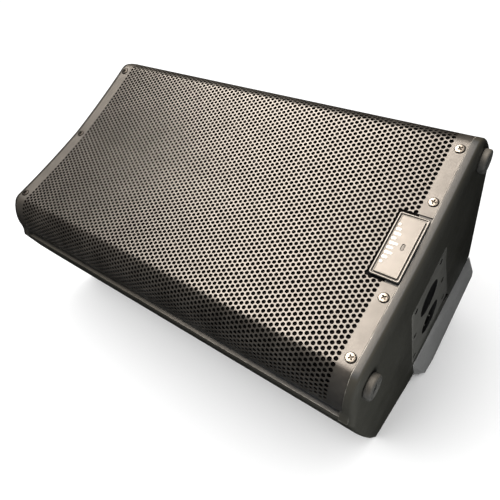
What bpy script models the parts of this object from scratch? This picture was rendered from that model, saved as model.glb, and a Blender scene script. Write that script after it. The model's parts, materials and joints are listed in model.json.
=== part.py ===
"""Powered ten inch two-way stage monitor, lying in its wedge position.

Every solid is drawn in the cabinet's own frame and only turned to its wedge
position at the end.  The cabinet frame is w across the loudspeaker, l along it
(plus is the loudspeaker's bottom end), z into it from the middle of the grille.
Sizes are in millimetres; the finished objects are in metres with +Z up.
"""
import math

import bmesh
import bpy
from mathutils import Matrix, Vector
from mathutils.geometry import delaunay_2d_cdt

for old in list(bpy.data.objects):
    bpy.data.objects.remove(old, do_unlink=True)

# ---------------------------------------------------------------- driving sizes
MM = 0.001
GAP = 0.3                      # clearance between pieces that touch
PITCH = 5.5                    # spacing of the grille holes, the unit of the front
WALL = 5.0                     # moulded cabinet wall
REST_ANGLE = math.radians(33)  # monitor facet to grille plane

END_BOTTOM = 255.0             # cabinet end that carries the feet and pole sockets
END_TOP = -264.5               # cabinet end that carries the handle
RIM = 4.5                      # rounding of the two ends
HALF_WIDTH = 161.0
LIP_Z = 37.5                   # where the side walls start behind the grille
REAR_Z = 260.8
REAR_CORNER = (129.0, REAR_Z)
UPPER_CORNER = (141.0, 249.0)
NOTCH_W = -52.0
TIP_W = -148.5
TIP_Z = REAR_Z - (NOTCH_W - TIP_W) * math.tan(REST_ANGLE)

GRILLE_END_R = 243.2
GRILLE_END_L = -259.3
GRILLE_T = 1.2
NOTCH_HALF = 38.0              # cut-out of the grille round the badge
NOTCH_W0 = -0.9                # middle of the cut-out
NOTCH_L = 209.7
BADGE_W = -1.4
LIGHT = (-2.0, 231.5)
BADGE_L = 228.4
DISH_SLOPE = 0.025             # shallow dish of the grille, slope beside the centre
DISH_CURVE = 0.0019            # and its curvature, per pitch
DISH_HALF = 22.0 * PITCH
BEND_TIGHT = 3.0 * PITCH       # first bend of the wrapped side
BEND_WIDE = 9.76 * PITCH       # second, wider bend
BEND_BREAK = math.radians(35)
BEND_END = math.radians(79)
SLIT_END_R = 241.0             # ends of the slit between grille and side wall
SLIT_END_L = -250.0
LEDGE_T = 5.0
LEDGE_HALF = 122.0

BAFFLE_Z = 41.0
BAFFLE_T = 12.0
BAFFLE_HALF = 154.0

WOOFER_L = 92.0
WOOFER_R = 127.0
COIL_R = 32.4
CONE_R = 97.5
STROKE = 5.0
HORN_L = -150.0
HORN_HALF = (94.0, 74.0)
THROAT_R = 12.5
THROAT_Z = 135.0
PORT = (118.0, -40.0)
PORT_R = 22.0

FOOT = (124.0, 15.0)
FOOT_R = 12.5
FOOT_H = 7.0
POLE_R = 18.0
POLE_DEPTH = 64.0
POLE_MOUTH_R = 21.3
SOCKETS = ((1.0, 100.0, 0.0), (2.5, 162.0, math.radians(-7.5)))
PAD = ((-40, 56), (44, 56), (45, 93), (58, 205), (-48.5, 205))
PAD_T = 2.5
PAD_SEAT = END_BOTTOM - 1.4        # floor of the pad's screw recesses
PAD_SCREWS = ((30.0, 66.0), (36.5, 125.0), (42.0, 187.0))

HOUSING_Z = 292.0
HOUSING_TOP_L = -236.0
STAND_L = 266.5
OPENING_W = (-20.0, 110.0)
OPENING_L = (-185.0, 125.0)
TRAY_W = (-11.0, 101.0)
TRAY_L = (-176.0, 116.0)
TRAY_Z = 212.0
PANEL_Z = REAR_Z + GAP
PANEL_T = 3.0
FACE_Z = PANEL_Z + PANEL_T
FIN_Z = 276.0

HANDLE_Z = (95.0, 175.0)
HANDLE_HALF = 62.0
HANDLE_DEPTH = 46.0

FLOOR_Z = TIP_W * math.sin(REST_ANGLE) - TIP_Z * math.cos(REST_ANGLE)
MID_Y = 74.35
MID_X = 1.0

# --------------------------------------------------------------------- colours
MATERIALS = {
    "black_moulding": ((0.030, 0.030, 0.028), 0.55, 0.0),
    "grey_moulding": ((0.085, 0.085, 0.082), 0.50, 0.0),
    "black_steel": ((0.035, 0.034, 0.032), 0.38, 0.6),
    "zinc": ((0.42, 0.41, 0.39), 0.35, 1.0),
    "aluminium": ((0.30, 0.30, 0.31), 0.40, 1.0),
    "rubber": ((0.018, 0.018, 0.018), 0.85, 0.0),
    "foam": ((0.010, 0.010, 0.010), 0.95, 0.0),
    "paper_cone": ((0.030, 0.030, 0.032), 0.90, 0.0),
    "cloth": ((0.42, 0.30, 0.14), 0.90, 0.0),
    "copper": ((0.62, 0.28, 0.14), 0.35, 1.0),
    "ferrite": ((0.060, 0.060, 0.065), 0.70, 0.0),
    "board": ((0.020, 0.100, 0.045), 0.50, 0.0),
    "display": ((0.015, 0.020, 0.030), 0.12, 0.0),
    "window": ((0.45, 0.47, 0.50), 0.20, 0.0),
    "plywood": ((0.300, 0.210, 0.120), 0.70, 0.0),
}


def material(name):
    """The named Principled material, made once."""
    if name in bpy.data.materials:
        return bpy.data.materials[name]
    colour, rough, metal = MATERIALS[name]
    mat = bpy.data.materials.new(name)
    mat.use_nodes = True
    shader = mat.node_tree.nodes["Principled BSDF"]
    shader.inputs["Base Color"].default_value = (*colour, 1.0)
    shader.inputs["Roughness"].default_value = rough
    shader.inputs["Metallic"].default_value = metal
    return mat


# --------------------------------------------------------- frame and primitives
def to_world(point):
    """Cabinet millimetres to world metres, lying on the monitor facet."""
    w, l, z = point
    y = w * math.cos(REST_ANGLE) + z * math.sin(REST_ANGLE)
    up = w * math.sin(REST_ANGLE) - z * math.cos(REST_ANGLE)
    return Vector(((l - MID_X) * MM, (y - MID_Y) * MM, (up - FLOOR_Z) * MM))


def tidy(bm, reach):
    """Merge points closer than reach and drop what has no face."""
    bmesh.ops.remove_doubles(bm, verts=bm.verts, dist=reach)
    bmesh.ops.dissolve_degenerate(bm, dist=reach, edges=bm.edges)
    wires = [e for e in bm.edges if not e.link_faces]
    bmesh.ops.delete(bm, geom=wires, context="EDGES")


def face_outward(bm):
    """Turn all faces outward, judged by the sign of the volume."""
    bmesh.ops.recalc_face_normals(bm, faces=bm.faces)
    if bm.calc_volume(signed=True) < 0:
        bmesh.ops.reverse_faces(bm, faces=bm.faces)


def solid(bm):
    """A loose mesh from a bmesh, with outward normals."""
    tidy(bm, 1e-4)
    face_outward(bm)
    mesh = bpy.data.meshes.new("solid")
    bm.to_mesh(mesh)
    bm.free()
    return mesh


def loft(rings, closed_loop=False):
    """A solid through rings of equal length; closed_loop joins last to first."""
    bm = bmesh.new()
    rows = [[bm.verts.new(p) for p in ring] for ring in rings]
    pairs = list(zip(rows, rows[1:]))
    if closed_loop:
        pairs.append((rows[-1], rows[0]))
    for a, b in pairs:
        for i in range(len(a)):
            j = (i + 1) % len(a)
            bm.faces.new((a[i], a[j], b[j], b[i]))
    if not closed_loop:
        bm.faces.new(rows[0])
        bm.faces.new(rows[-1])
    return solid(bm)


def prism(outline, l0, l1):
    """Outline in (w, z) pushed along l."""
    return loft([[(w, l, z) for w, z in outline] for l in (l0, l1)])


def slab(outline, z0, z1):
    """Outline in (w, l) pushed along z."""
    return loft([[(w, l, z) for w, l in outline] for z in (z0, z1)])


def box(w0, w1, l0, l1, z0, z1):
    return prism(((w0, z0), (w1, z0), (w1, z1), (w0, z1)), l0, l1)


def hull(points):
    bm = bmesh.new()
    for p in points:
        bm.verts.new(p)
    bmesh.ops.convex_hull(bm, input=bm.verts)
    loose = [v for v in bm.verts if not v.link_faces]
    bmesh.ops.delete(bm, geom=loose, context="VERTS")
    return solid(bm)


def circle(cu, cv, r, n=24, turn=0.0):
    steps = (2 * math.pi * i / n + turn for i in range(n))
    return [(cu + r * math.cos(a), cv + r * math.sin(a)) for a in steps]


def rounded(cu, cv, hu, hv, r, n=4):
    """Rounded rectangle centred on (cu, cv)."""
    out = []
    for k, (su, sv) in enumerate(((1, 1), (-1, 1), (-1, -1), (1, -1))):
        for i in range(n + 1):
            a = math.pi / 2 * (k + i / n)
            out.append((cu + su * (hu - r) + r * math.cos(a), cv + sv * (hv - r) + r * math.sin(a)))
    return out


def turned(profile, w, l, n=32, closed=True):
    """Profile of (radius, z) turned about the z direction through (w, l)."""
    rings = []
    for i in range(n):
        a = 2 * math.pi * i / n
        rings.append([(w + r * math.cos(a), l + r * math.sin(a), z) for r, z in profile])
    bm = bmesh.new()
    rows = [[bm.verts.new(p) for p in ring] for ring in rings]
    count = len(profile) if closed else len(profile) - 1
    for i in range(n):
        a, b = rows[i], rows[(i + 1) % n]
        for j in range(count):
            k = (j + 1) % len(profile)
            bm.faces.new((a[j], a[k], b[k], b[j]))
    return solid(bm)


def rod_l(w, z, r, l0, l1, n=20, r1=None, turn=0.0):
    """Cylinder or cone along l."""
    far = r if r1 is None else r1
    ring0 = [(u, l0, v) for u, v in circle(w, z, r, n, turn)]
    ring1 = [(u, l1, v) for u, v in circle(w, z, far, n, turn)]
    return loft([ring0, ring1])


def rod_z(w, l, r, z0, z1, n=20, r1=None):
    """Cylinder or cone along z."""
    far = r if r1 is None else r1
    ring0 = [(u, v, z0) for u, v in circle(w, l, r, n)]
    ring1 = [(u, v, z1) for u, v in circle(w, l, far, n)]
    return loft([ring0, ring1])


def spun(mesh, matrix):
    mesh.transform(matrix)
    return mesh


def about(point, angle, axis):
    """Rotation by angle about an axis through a point, for spun()."""
    shift = Matrix.Translation(Vector(point))
    return shift @ Matrix.Rotation(angle, 4, axis) @ shift.inverted()


def combine(base, others, operation):
    """Boolean of base with each of the other solids in turn."""
    target = bpy.data.objects.new("work", base)
    bpy.context.scene.collection.objects.link(target)
    for other in others:
        tool = bpy.data.objects.new("tool", other)
        tool.hide_render = True
        tool.display_type = "WIRE"
        bpy.context.scene.collection.objects.link(tool)
        mod = target.modifiers.new("b", "BOOLEAN")
        mod.operation = operation
        mod.solver = "EXACT"
        mod.object = tool
        graph = bpy.context.evaluated_depsgraph_get()
        result = bpy.data.meshes.new_from_object(target.evaluated_get(graph))
        target.modifiers.clear()
        target.data = result
        bpy.data.objects.remove(tool, do_unlink=True)
    mesh = target.data
    bpy.data.objects.remove(target, do_unlink=True)
    return mesh


def cut(base, *tools):
    return combine(base, tools, "DIFFERENCE")


def add(base, *tools):
    return combine(base, tools, "UNION")


def split_faces(bm):
    """Cut every face into sound triangles, with no flat slivers along straight edges."""
    bm.normal_update()
    for face in [f for f in bm.faces if len(f.verts) > 3]:
        corners = list(face.verts)
        turn = face.normal.to_track_quat("Z", "Y").inverted()
        flat = [(turn @ v.co).to_2d() for v in corners]
        found = delaunay_2d_cdt(flat, [], [list(range(len(flat)))], 1, 1e-5)
        if len(found[0]) != len(flat):
            continue
        bm.faces.remove(face)
        for tri in found[2]:
            bm.faces.new([corners[found[3][i][0]] for i in tri])
    bmesh.ops.triangulate(bm, faces=[f for f in bm.faces if len(f.verts) > 3])
    wires = [e for e in bm.edges if not e.link_faces]
    bmesh.ops.delete(bm, geom=wires, context="EDGES")


def part(name, mesh, mat, origin=(0.0, 0.0, 0.0), smooth=30):
    """Place a finished solid in the world with its origin at the given point."""
    bm = bmesh.new()
    bm.from_mesh(mesh)
    tidy(bm, 1e-3)
    split_faces(bm)
    pivot = to_world(origin)
    for v in bm.verts:
        v.co = to_world(v.co) - pivot
    face_outward(bm)
    out = bpy.data.meshes.new(name)
    bm.to_mesh(out)
    bm.free()
    out.materials.clear()
    out.materials.append(material(mat))
    for poly in out.polygons:
        poly.material_index = 0
    out.shade_smooth()
    out.set_sharp_from_angle(angle=math.radians(smooth))
    obj = bpy.data.objects.new(name, out)
    obj.location = pivot
    bpy.context.scene.collection.objects.link(obj)
    return obj


# ------------------------------------------------------------ shared outlines
def half_front():
    """Right half of the grille's outer face, from the centre out."""
    pts = []
    for i in range(9):
        w = DISH_HALF * i / 8
        p = w / PITCH
        pts.append((w, -PITCH * (DISH_SLOPE * p + DISH_CURVE * p * p)))
    slope = -math.atan(DISH_SLOPE + 2 * DISH_CURVE * DISH_HALF / PITCH)
    w, z = pts[-1]
    for radius, stop, n in ((BEND_TIGHT, BEND_BREAK, 5), (BEND_WIDE, BEND_END, 5)):
        turn = (stop - slope) / n
        chord = 2 * radius * math.sin(turn / 2)
        for _ in range(n):
            w += chord * math.cos(slope + turn / 2)
            z += chord * math.sin(slope + turn / 2)
            slope += turn
            pts.append((w, z))
    return pts


HALF_FRONT = half_front()
FRONT = [(-w, z) for w, z in reversed(HALF_FRONT)] + HALF_FRONT[1:]


def offset_line(points, distance):
    """Open line moved sideways; plus is deeper into the cabinet."""
    out = []
    for i, (w, z) in enumerate(points):
        w0, z0 = points[max(i - 1, 0)]
        w1, z1 = points[min(i + 1, len(points) - 1)]
        length = math.hypot(w1 - w0, z1 - z0)
        out.append((w - (z1 - z0) / length * distance, z + (w1 - w0) / length * distance))
    return out


def inset(points, distance):
    """Closed outline moved inward, corner by corner."""
    out = []
    n = len(points)
    for i in range(n):
        a, b, c = Vector(points[i - 1]), Vector(points[i]), Vector(points[(i + 1) % n])
        d0, d1 = (b - a).normalized(), (c - b).normalized()
        n0, n1 = Vector((-d0.y, d0.x)), Vector((-d1.y, d1.x))
        mitre = n0 + n1
        out.append(tuple(b + mitre * (distance / max(mitre.dot(n0), 0.3))))
    return out


def fillet(a, b, c, radius, n=4):
    """Round the corner b between a and c."""
    a, b, c = Vector(a), Vector(b), Vector(c)
    u, v = (a - b).normalized(), (c - b).normalized()
    half = u.angle(v) / 2
    reach = radius / math.tan(half)
    centre = b + (u + v).normalized() * radius / math.sin(half)
    start, end = b + u * reach - centre, b + v * reach - centre
    first = math.atan2(start.y, start.x)
    sweep = math.copysign(start.angle(end), start.x * end.y - start.y * end.x)
    angles = [first + sweep * i / n for i in range(n + 1)]
    return [(centre.x + radius * math.cos(t), centre.y + radius * math.sin(t)) for t in angles]


BULGE = ((-161.3, 70.0), (-160.2, 100.0), (-158.0, 130.0), (-154.6, 165.0))


def cabinet_outline():
    """The whole section, anticlockwise from the lower edge of the front."""
    shoulder_up = (HALF_WIDTH, LIP_Z + 5)
    shoulder_low = (-HALF_WIDTH, LIP_Z + 5)
    tip = (TIP_W, TIP_Z)
    notch = (NOTCH_W, REAR_Z)
    out = list(FRONT)
    out.append(shoulder_up)
    out += fillet(shoulder_up, UPPER_CORNER, REAR_CORNER, 5)
    out += fillet(UPPER_CORNER, REAR_CORNER, notch, 5)
    out.append(notch)
    out += fillet(notch, tip, BULGE[-1], 2.5)
    out += reversed(BULGE)
    out.append(shoulder_low)
    return out


OUTLINE = cabinet_outline()


def front_z(w):
    """Depth of the grille's outer face at w."""
    p = abs(w) / PITCH
    return -PITCH * (DISH_SLOPE * p + DISH_CURVE * p * p)


# ------------------------------------------------------------------- fasteners
def screw_rings(head_r, head_h, shank_r, shank):
    """(radius, height) steps of a domed screw; height 0 is the seat of the head."""
    return ((shank_r, -shank), (shank_r, 0.0), (head_r, 0.0), (head_r * 0.9, head_h * 0.6), (head_r * 0.6, head_h))


def screw_l(name, w, z, face, head_r, head_h, shank):
    """Screw driven along -l into a face at l = face."""
    steps = screw_rings(head_r, head_h, SHANK_R, shank)
    part(name, loft([[(u, face + h, v) for u, v in circle(w, z, r, 10)] for r, h in steps]), "zinc")


def screw_z(name, w, l, face, head_r, head_h, shank):
    """Screw driven along +z into a face at z = face."""
    steps = screw_rings(head_r, head_h, SHANK_R, shank)
    part(name, loft([[(u, v, face - h) for u, v in circle(w, l, r, 12)] for r, h in steps]), "zinc")


GRILLE_SCREWS = ((-114.5, 237.0), (-53.0, 237.0), (53.0, 237.0), (114.5, 237.0),
                 (-115.5, -252.5), (-0.7, -251.2), (115.5, -252.5))
HOUSING_SCREWS = ((112.0, 279.0), (46.0, 279.0), (-8.0, 277.0))
SHANK_R = 1.6
HOLE_R = SHANK_R + GAP
HEAD_BACK = 0.8                # stand-off of a grille screw head on the sloping sheet


# --------------------------------------------------------------------- cabinet
def cabinet():
    steps = ((RIM, 0.0), (RIM * 0.3, RIM * 0.3), (0.0, RIM))
    rings = [[(w, END_TOP + back, z) for w, z in inset(OUTLINE, side)] for side, back in steps]
    rings += [[(w, END_BOTTOM - back, z) for w, z in inset(OUTLINE, side)] for side, back in reversed(steps)]
    body = loft(rings)
    inner_ends = (END_TOP + 6, END_BOTTOM - 8)
    body = cut(body, prism(inset(OUTLINE, WALL), *inner_ends))
    body = cut(body, box(-200, 200, GRILLE_END_L - GAP, GRILLE_END_R + GAP, -60, LIP_Z))
    behind = offset_line([p for p in FRONT if abs(p[0]) < LEDGE_HALF], GRILLE_T + GAP)
    ledge = behind + list(reversed(offset_line(behind, LEDGE_T)))
    body = add(body, prism(ledge, 230.5, 250), prism(ledge, -261.5, -244.5))
    for side in (-1, 1):
        w, z = HALF_FRONT[-1]
        top = z + 2 * GAP
        plug = [(side * u, v) for u, v in ((w, top), (HALF_WIDTH, LIP_Z + 1), (w - 6, LIP_Z + 1), (w - 6, top))]
        body = add(body, prism(plug, SLIT_END_R, 250), prism(plug, -261.5, SLIT_END_L))
    body = cut(body, box(TRAY_W[0] - 1, TRAY_W[1] + 1, TRAY_L[0] - 1, TRAY_L[1] + 1, 240, 275))
    body = cut(body, prism(PAD, END_BOTTOM - PAD_T, END_BOTTOM + 5))
    for w, z, tilt in SOCKETS:
        hole = rod_l(w, z, POLE_R + 5.5, END_BOTTOM - 14, END_BOTTOM + 5, 32)
        body = cut(body, spun(hole, about((w, END_BOTTOM, z), tilt, "X")))
    pocket = ((53, 192), (66, 232), (40, 206))
    body = cut(body, prism([pocket[0], pocket[1], (66, 234), pocket[2]], END_BOTTOM - 4, END_BOTTOM + 5))
    for w, z in PAD_SCREWS:
        for side in (-1, 1):
            body = cut(body, rod_l(side * w, z, 2.3, END_BOTTOM - 14, END_BOTTOM + 5, 6))
    for side in (-1, 1):
        body = cut(body, rod_l(side * FOOT[0], FOOT[1], 2.6, END_BOTTOM - 14, END_BOTTOM + 5, 6))
    for w, l in GRILLE_SCREWS:
        body = cut(body, rod_z(w, l, 2.6, -15, 8, 6))
    body = cut(body, box(-HANDLE_HALF, HANDLE_HALF, END_TOP - 5, END_TOP + 12, *HANDLE_Z))
    part("cabinet_shell", body, "black_moulding")


def baffle():
    body = box(-BAFFLE_HALF, BAFFLE_HALF, END_TOP + 6 + GAP, END_BOTTOM - 8 - GAP, BAFFLE_Z, BAFFLE_Z + BAFFLE_T)
    body = cut(body, rod_z(0, WOOFER_L, 116, 30, 60, 48))
    body = cut(body, box(-HORN_HALF[0] - 4, HORN_HALF[0] + 4, HORN_L - HORN_HALF[1] - 4,
                         HORN_L + HORN_HALF[1] + 4, 30, 60))
    for side in (-1, 1):
        body = cut(body, rod_z(side * PORT[0], PORT[1], PORT_R + 2.8, 30, 60, 32))
    part("front_baffle", body, "plywood")


def grille():
    inner = list(reversed(offset_line(FRONT, GRILLE_T)))
    body = prism(FRONT + inner, GRILLE_END_L, GRILLE_END_R)
    body = cut(body, box(NOTCH_W0 - NOTCH_HALF, NOTCH_W0 + NOTCH_HALF, NOTCH_L, GRILLE_END_R + 5, -15, 8))
    for w, l in GRILLE_SCREWS:
        body = cut(body, rod_z(w, l, 2.3, -15, 8, 12))
    part("grille", body, "black_steel")
    front = offset_line(FRONT[1:-1], GRILLE_T + GAP)
    back = list(reversed(offset_line(front, 4.0)))
    part("grille_foam", prism(front + back, -244.0, 230.0), "foam")
    for i, (w, l) in enumerate(GRILLE_SCREWS):
        screw_z(f"grille_screw_{i + 1}", w, l, front_z(w) - HEAD_BACK, 4.6, 1.8, 8.5)


def badge():
    w, l = BADGE_W, BADGE_L
    bezel = add(slab(rounded(w, l, 34.8, 14.65, 2.2), -3.0, -1.8),
                slab(rounded(w, l + 3, 31.5, 9.5, 2.2), -2.5, 0.0))
    part("badge_bezel", bezel, "black_moulding")
    plate = slab(rounded(w, l, 32.2, 12.7, 1.8), -4.0, -3.0 - GAP)
    part("badge_plate", cut(plate, rod_z(*LIGHT, 3.2, -6, -2, 16)), "grey_moulding")
    part("badge_light_window", rod_z(*LIGHT, 2.9, -4.2, -3.0 - GAP, 16), "window")


# ----------------------------------------------------- bottom end, feet, socket
def stand_feet():
    for side, label in ((-1, "lower"), (1, "upper")):
        w, z = side * FOOT[0], FOOT[1]
        base = END_BOTTOM + GAP
        profile = ((FOOT_R, 0.0), (FOOT_R, FOOT_H - 3), (FOOT_R - 1.0, FOOT_H - 0.9), (FOOT_R - 3, FOOT_H))
        body = loft([[(u, base + h, v) for u, v in circle(w, z, r, 32)] for r, h in profile])
        body = cut(body, rod_l(w, z, 4.3, base + 2.5, base + 20, 16), rod_l(w, z, 2.3, base - 5, base + 10, 12))
        part(f"stand_foot_{label}", body, "rubber")
        screw_l(f"foot_screw_{label}", w, z, base + 2.5 + GAP, 3.6, 1.6, 12)


def pole_socket():
    body = prism(inset(PAD, GAP), END_BOTTOM - PAD_T + GAP, END_BOTTOM + 2)
    for w, z, tilt in SOCKETS:
        tube = rod_l(w, z, POLE_R + 3.5, END_BOTTOM - POLE_DEPTH - 3, END_BOTTOM - 1.0, 32)
        body = add(body, spun(tube, about((w, END_BOTTOM, z), tilt, "X")))
    body = cut(body, box(-80, 80, END_BOTTOM + GAP, END_BOTTOM + 30, 30, 240))
    for w, z, tilt in SOCKETS:
        turn = about((w, END_BOTTOM, z), tilt, "X")
        bore = rod_l(w, z, POLE_R, END_BOTTOM - POLE_DEPTH, END_BOTTOM + 6, 32)
        mouth = rod_l(w, z, POLE_R - 2, END_BOTTOM - 3.5, END_BOTTOM + 0.4, 32, POLE_MOUTH_R, 0.05)
        body = cut(body, spun(bore, turn))
        body = cut(body, mouth)
    for w, z in PAD_SCREWS:
        for side in (-1, 1):
            body = cut(body, rod_l(side * w, z, HOLE_R, END_BOTTOM - 14, END_BOTTOM + 5, 12))
            body = cut(body, rod_l(side * w, z, 3.8, PAD_SEAT, END_BOTTOM + 5, 16))
    part("pole_socket_block", body, "grey_moulding")
    index = 1
    for w, z in PAD_SCREWS:
        for side in (-1, 1):
            screw_l(f"socket_screw_{index}", side * w, z, PAD_SEAT + GAP, 3.2, 1.2, 10)
            index += 1


# ---------------------------------------------------- rear housing and its bar
def rear_housing():
    w0, w1 = -45.0, 131.0
    bar = hull([(w, l, z) for w in (w0, w1) for l in (HOUSING_TOP_L, 262.0) for z in (PANEL_Z, 287.0)]
               + [(w, l, HOUSING_Z) for w in (w0 + 4, w1 - 4) for l in (HOUSING_TOP_L + 4, 258.0)])
    hook = hull([(139, END_BOTTOM + GAP, 251), (-48, END_BOTTOM + GAP, 214), (-48, END_BOTTOM + GAP, 262),
                 (131, END_BOTTOM + GAP, 262), (131, END_BOTTOM + GAP, 287), (-48, END_BOTTOM + GAP, 287),
                 (127, STAND_L, 270), (-38, STAND_L, 266), (127, STAND_L, 285), (-38, STAND_L, 285),
                 (127, STAND_L - 4, HOUSING_Z - 1), (-38, STAND_L - 4, HOUSING_Z - 1)])
    body = add(bar, hook)
    window = box(OPENING_W[0] - GAP, OPENING_W[1] + GAP, OPENING_L[0] - GAP, OPENING_L[1] + GAP, 240, 310)
    body = cut(body, window)
    lift = 3.5 / math.cos(REST_ANGLE)
    slope = math.tan(REST_ANGLE)
    low = [(-90, REAR_Z - lift + (-90 - NOTCH_W) * slope), (30, REAR_Z - lift + (30 - NOTCH_W) * slope),
           (30, 400), (-90, 400)]
    body = cut(body, prism(low, -300, 300))
    for w, z in HOUSING_SCREWS:
        body = cut(body, rod_l(w, z, 3.4, STAND_L - 3, STAND_L + 5, 16), rod_l(w, z, HOLE_R, STAND_L - 22, STAND_L, 12))
    part("rear_housing", body, "grey_moulding")
    for i, (w, z) in enumerate(HOUSING_SCREWS):
        screw_l(f"housing_screw_{i + 1}", w, z, STAND_L - 3 + GAP, 2.9, 1.5, 16)


# ---------------------------------------------------------------------- woofer
def woofer():
    l = WOOFER_L
    basket = turned(((127, 37), (127, 40.7), (115.3, 40.7), (112, 52), (72, 100), (72, 108), (40, 108),
                     (40, 105.2), (69, 105.2), (69, 99.5), (109, 51), (109, 37)), 0, l, 32)
    for i in range(6):
        a = math.pi / 3 * i + math.pi / 6
        window = box(60, 120, -17, 17, 60, 96)
        basket = cut(basket, spun(window, Matrix.Translation((0, l, 0)) @ Matrix.Rotation(a, 4, "Z")))
    part("woofer_basket", basket, "aluminium")
    surround = turned(((CONE_R + 0.5, 45.6), (CONE_R + 0.5, 44.5), (100, 44.0), (101.5, 40.2), (105, 38.2),
                       (109, 35.6), (117, 35.6), (117, 36.7), (108.4, 36.7), (105.2, 39.4), (101, 45.0)), 0, l, 32)
    part("woofer_surround", surround, "rubber")
    slope = (79.5 - 45.2) / (CONE_R - COIL_R - GAP)
    inner = COIL_R + GAP

    def cone_z(r):
        return 79.5 - (r - inner) * slope
    cone = turned(((inner, cone_z(inner)), (36, cone_z(36)), (35.0, 75.0), (29, 70.0), (18, 66.0), (0, 64.4),
                   (0, 63.2), (18.4, 64.8), (29.8, 68.8), (36.4, 74.4), (38, cone_z(38)),
                   (CONE_R, cone_z(CONE_R)), (CONE_R, cone_z(CONE_R) + 1.2), (inner, cone_z(inner) + 1.2)),
                  0, l, 40)
    pivot = (0, l, 80)
    part("woofer_cone", cone, "paper_cone", pivot)
    coil = turned(((31.2, 82), (COIL_R, 82), (COIL_R, 126), (31.2, 126)), 0, l, 28)
    part("voice_coil", coil, "copper", pivot)
    spider = turned(((COIL_R + GAP, 90), (40, 91.5), (47, 89), (54, 91.5), (61, 89), (70, 90.5), (74.8, 90.5),
                     (74.8, 91.7), (70, 91.7), (61, 90.2), (54, 92.7), (47, 90.2), (40, 92.7),
                     (COIL_R + GAP, 91.2)), 0, l, 28)
    part("woofer_spider", spider, "cloth")
    part("woofer_top_plate", turned(((33.2, 108.3), (70, 108.3), (70, 115.3), (33.2, 115.3)), 0, l, 28), "zinc")
    part("woofer_magnet", turned(((38, 115.6), (72, 115.6), (72, 135.6), (38, 135.6)), 0, l, 28), "ferrite")
    back = turned(((10, 109), (30.5, 109), (30.5, 135.9), (70, 135.9), (70, 142.9), (10, 142.9)), 0, l, 28)
    part("woofer_back_plate", back, "zinc")


# ------------------------------------------------------------- horn and ports
def squircle(hw, hl, power, n=24):
    out = []
    for i in range(n):
        a = 2 * math.pi * (i + 0.5) / n
        c, s = math.cos(a), math.sin(a)
        out.append((hw * math.copysign(abs(c) ** power, c), HORN_L + hl * math.copysign(abs(s) ** power, s)))
    return out


def horn():
    def flare(extra, z_from, z_to):
        rings = []
        for i in range(7):
            t = i / 6
            z = z_from + (z_to - z_from) * t
            u = min(max((THROAT_Z - z) / (THROAT_Z - 38), 0.0), 1.0)
            grow = u ** 1.8
            hw = THROAT_R + extra + (HORN_HALF[0] - 4 - THROAT_R) * grow
            hl = THROAT_R + extra + (HORN_HALF[1] - 4 - THROAT_R) * grow
            rings.append([(w, l, z) for w, l in squircle(hw, hl, 1 - 0.62 * grow)])
        return loft(rings)
    body = flare(3.2, 39, THROAT_Z)
    flange = slab(rounded(0, HORN_L, HORN_HALF[0] + 9, HORN_HALF[1] + 9, 8), 37, BAFFLE_Z - GAP)
    body = add(body, flange)
    body = cut(body, flare(0, 36.5, THROAT_Z + 1))
    part("horn_flare", body, "black_moulding")
    z = THROAT_Z + GAP
    driver = turned(((THROAT_R, z), (38, z), (38, z + 6), (30, z + 8), (44, z + 12), (44, z + 40), (38, z + 44),
                     (34, z + 52), (0, z + 54), (0, z + 14), (THROAT_R, z + 12)), 0, HORN_L, 24)
    part("compression_driver", driver, "ferrite")


def ports():
    for side, label in ((-1, "lower"), (1, "upper")):
        r = PORT_R
        front, back = BAFFLE_Z - GAP, 150.0
        tube = turned(((r + 7.6, front - 3), (r + 7.6, front), (r + 2.4, front), (r + 2.4, back), (r, back),
                       (r, front + 6), (r + 1.5, front + 1), (r + 4.5, front - 2.4)), side * PORT[0], PORT[1], 24)
        part(f"port_tube_{label}", tube, "black_moulding")


# ------------------------------------------------------------------ amplifier
DISPLAY = (45.0, -48.0)
MENU = (45.0, -16.0)
BUTTONS = ((12.0, -16.0), (78.0, -16.0))
GAINS = ((20.0, 16.0), (70.0, 16.0))
JACKS = ((18.0, 54.0), (72.0, 54.0))
INLET = (18.0, 99.0)
ROCKER = (72.0, 99.0)
ROCKER_TILT = -8.0             # off position; the other is the same the other way
FAN = (45.0, -76.0)


def amp_chassis():
    plate = box(OPENING_W[0], OPENING_W[1], OPENING_L[0], OPENING_L[1], PANEL_Z, FACE_Z)
    tray = box(TRAY_W[0], TRAY_W[1], TRAY_L[0], TRAY_L[1], TRAY_Z, PANEL_Z + 1)
    hollow = box(TRAY_W[0] + 1.6, TRAY_W[1] - 1.6, TRAY_L[0] + 1.6, TRAY_L[1] - 1.6, TRAY_Z - 5, PANEL_Z)
    body = cut(add(plate, tray), hollow)
    for w, l in (MENU, *GAINS):
        body = cut(body, rod_z(w, l, 3.6, 250, 280, 16))
    for w, l in BUTTONS:
        body = cut(body, rod_z(w, l, 4.4, 250, 280, 16))
    for w, l in JACKS:
        body = cut(body, rod_z(w, l, 12.4, 250, 280, 24))
    body = cut(body, box(INLET[0] - 14.4, INLET[0] + 14.4, INLET[1] - 10.4, INLET[1] + 10.4, 250, 280))
    body = cut(body, box(ROCKER[0] - 11, ROCKER[0] + 11, ROCKER[1] - 7.5, ROCKER[1] + 7.5, 250, 280))
    part("amp_chassis", body, "black_steel")


def heat_sink():
    w0, w1 = OPENING_W[0] + 2, OPENING_W[1] - 2
    z0 = FACE_Z + GAP
    pts = [(w0, z0), (w1, z0)]
    count = 13
    span = (w1 - w0) / (2 * count - 1)
    for i in range(count):
        right = w1 - 2 * i * span
        pts += [(right, FIN_Z), (right - span, FIN_Z)]
        if i < count - 1:
            pts += [(right - span, z0 + 4), (right - 2 * span, z0 + 4)]
    part("heat_sink", prism(pts, OPENING_L[0] + 3, -66), "aluminium")


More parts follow.
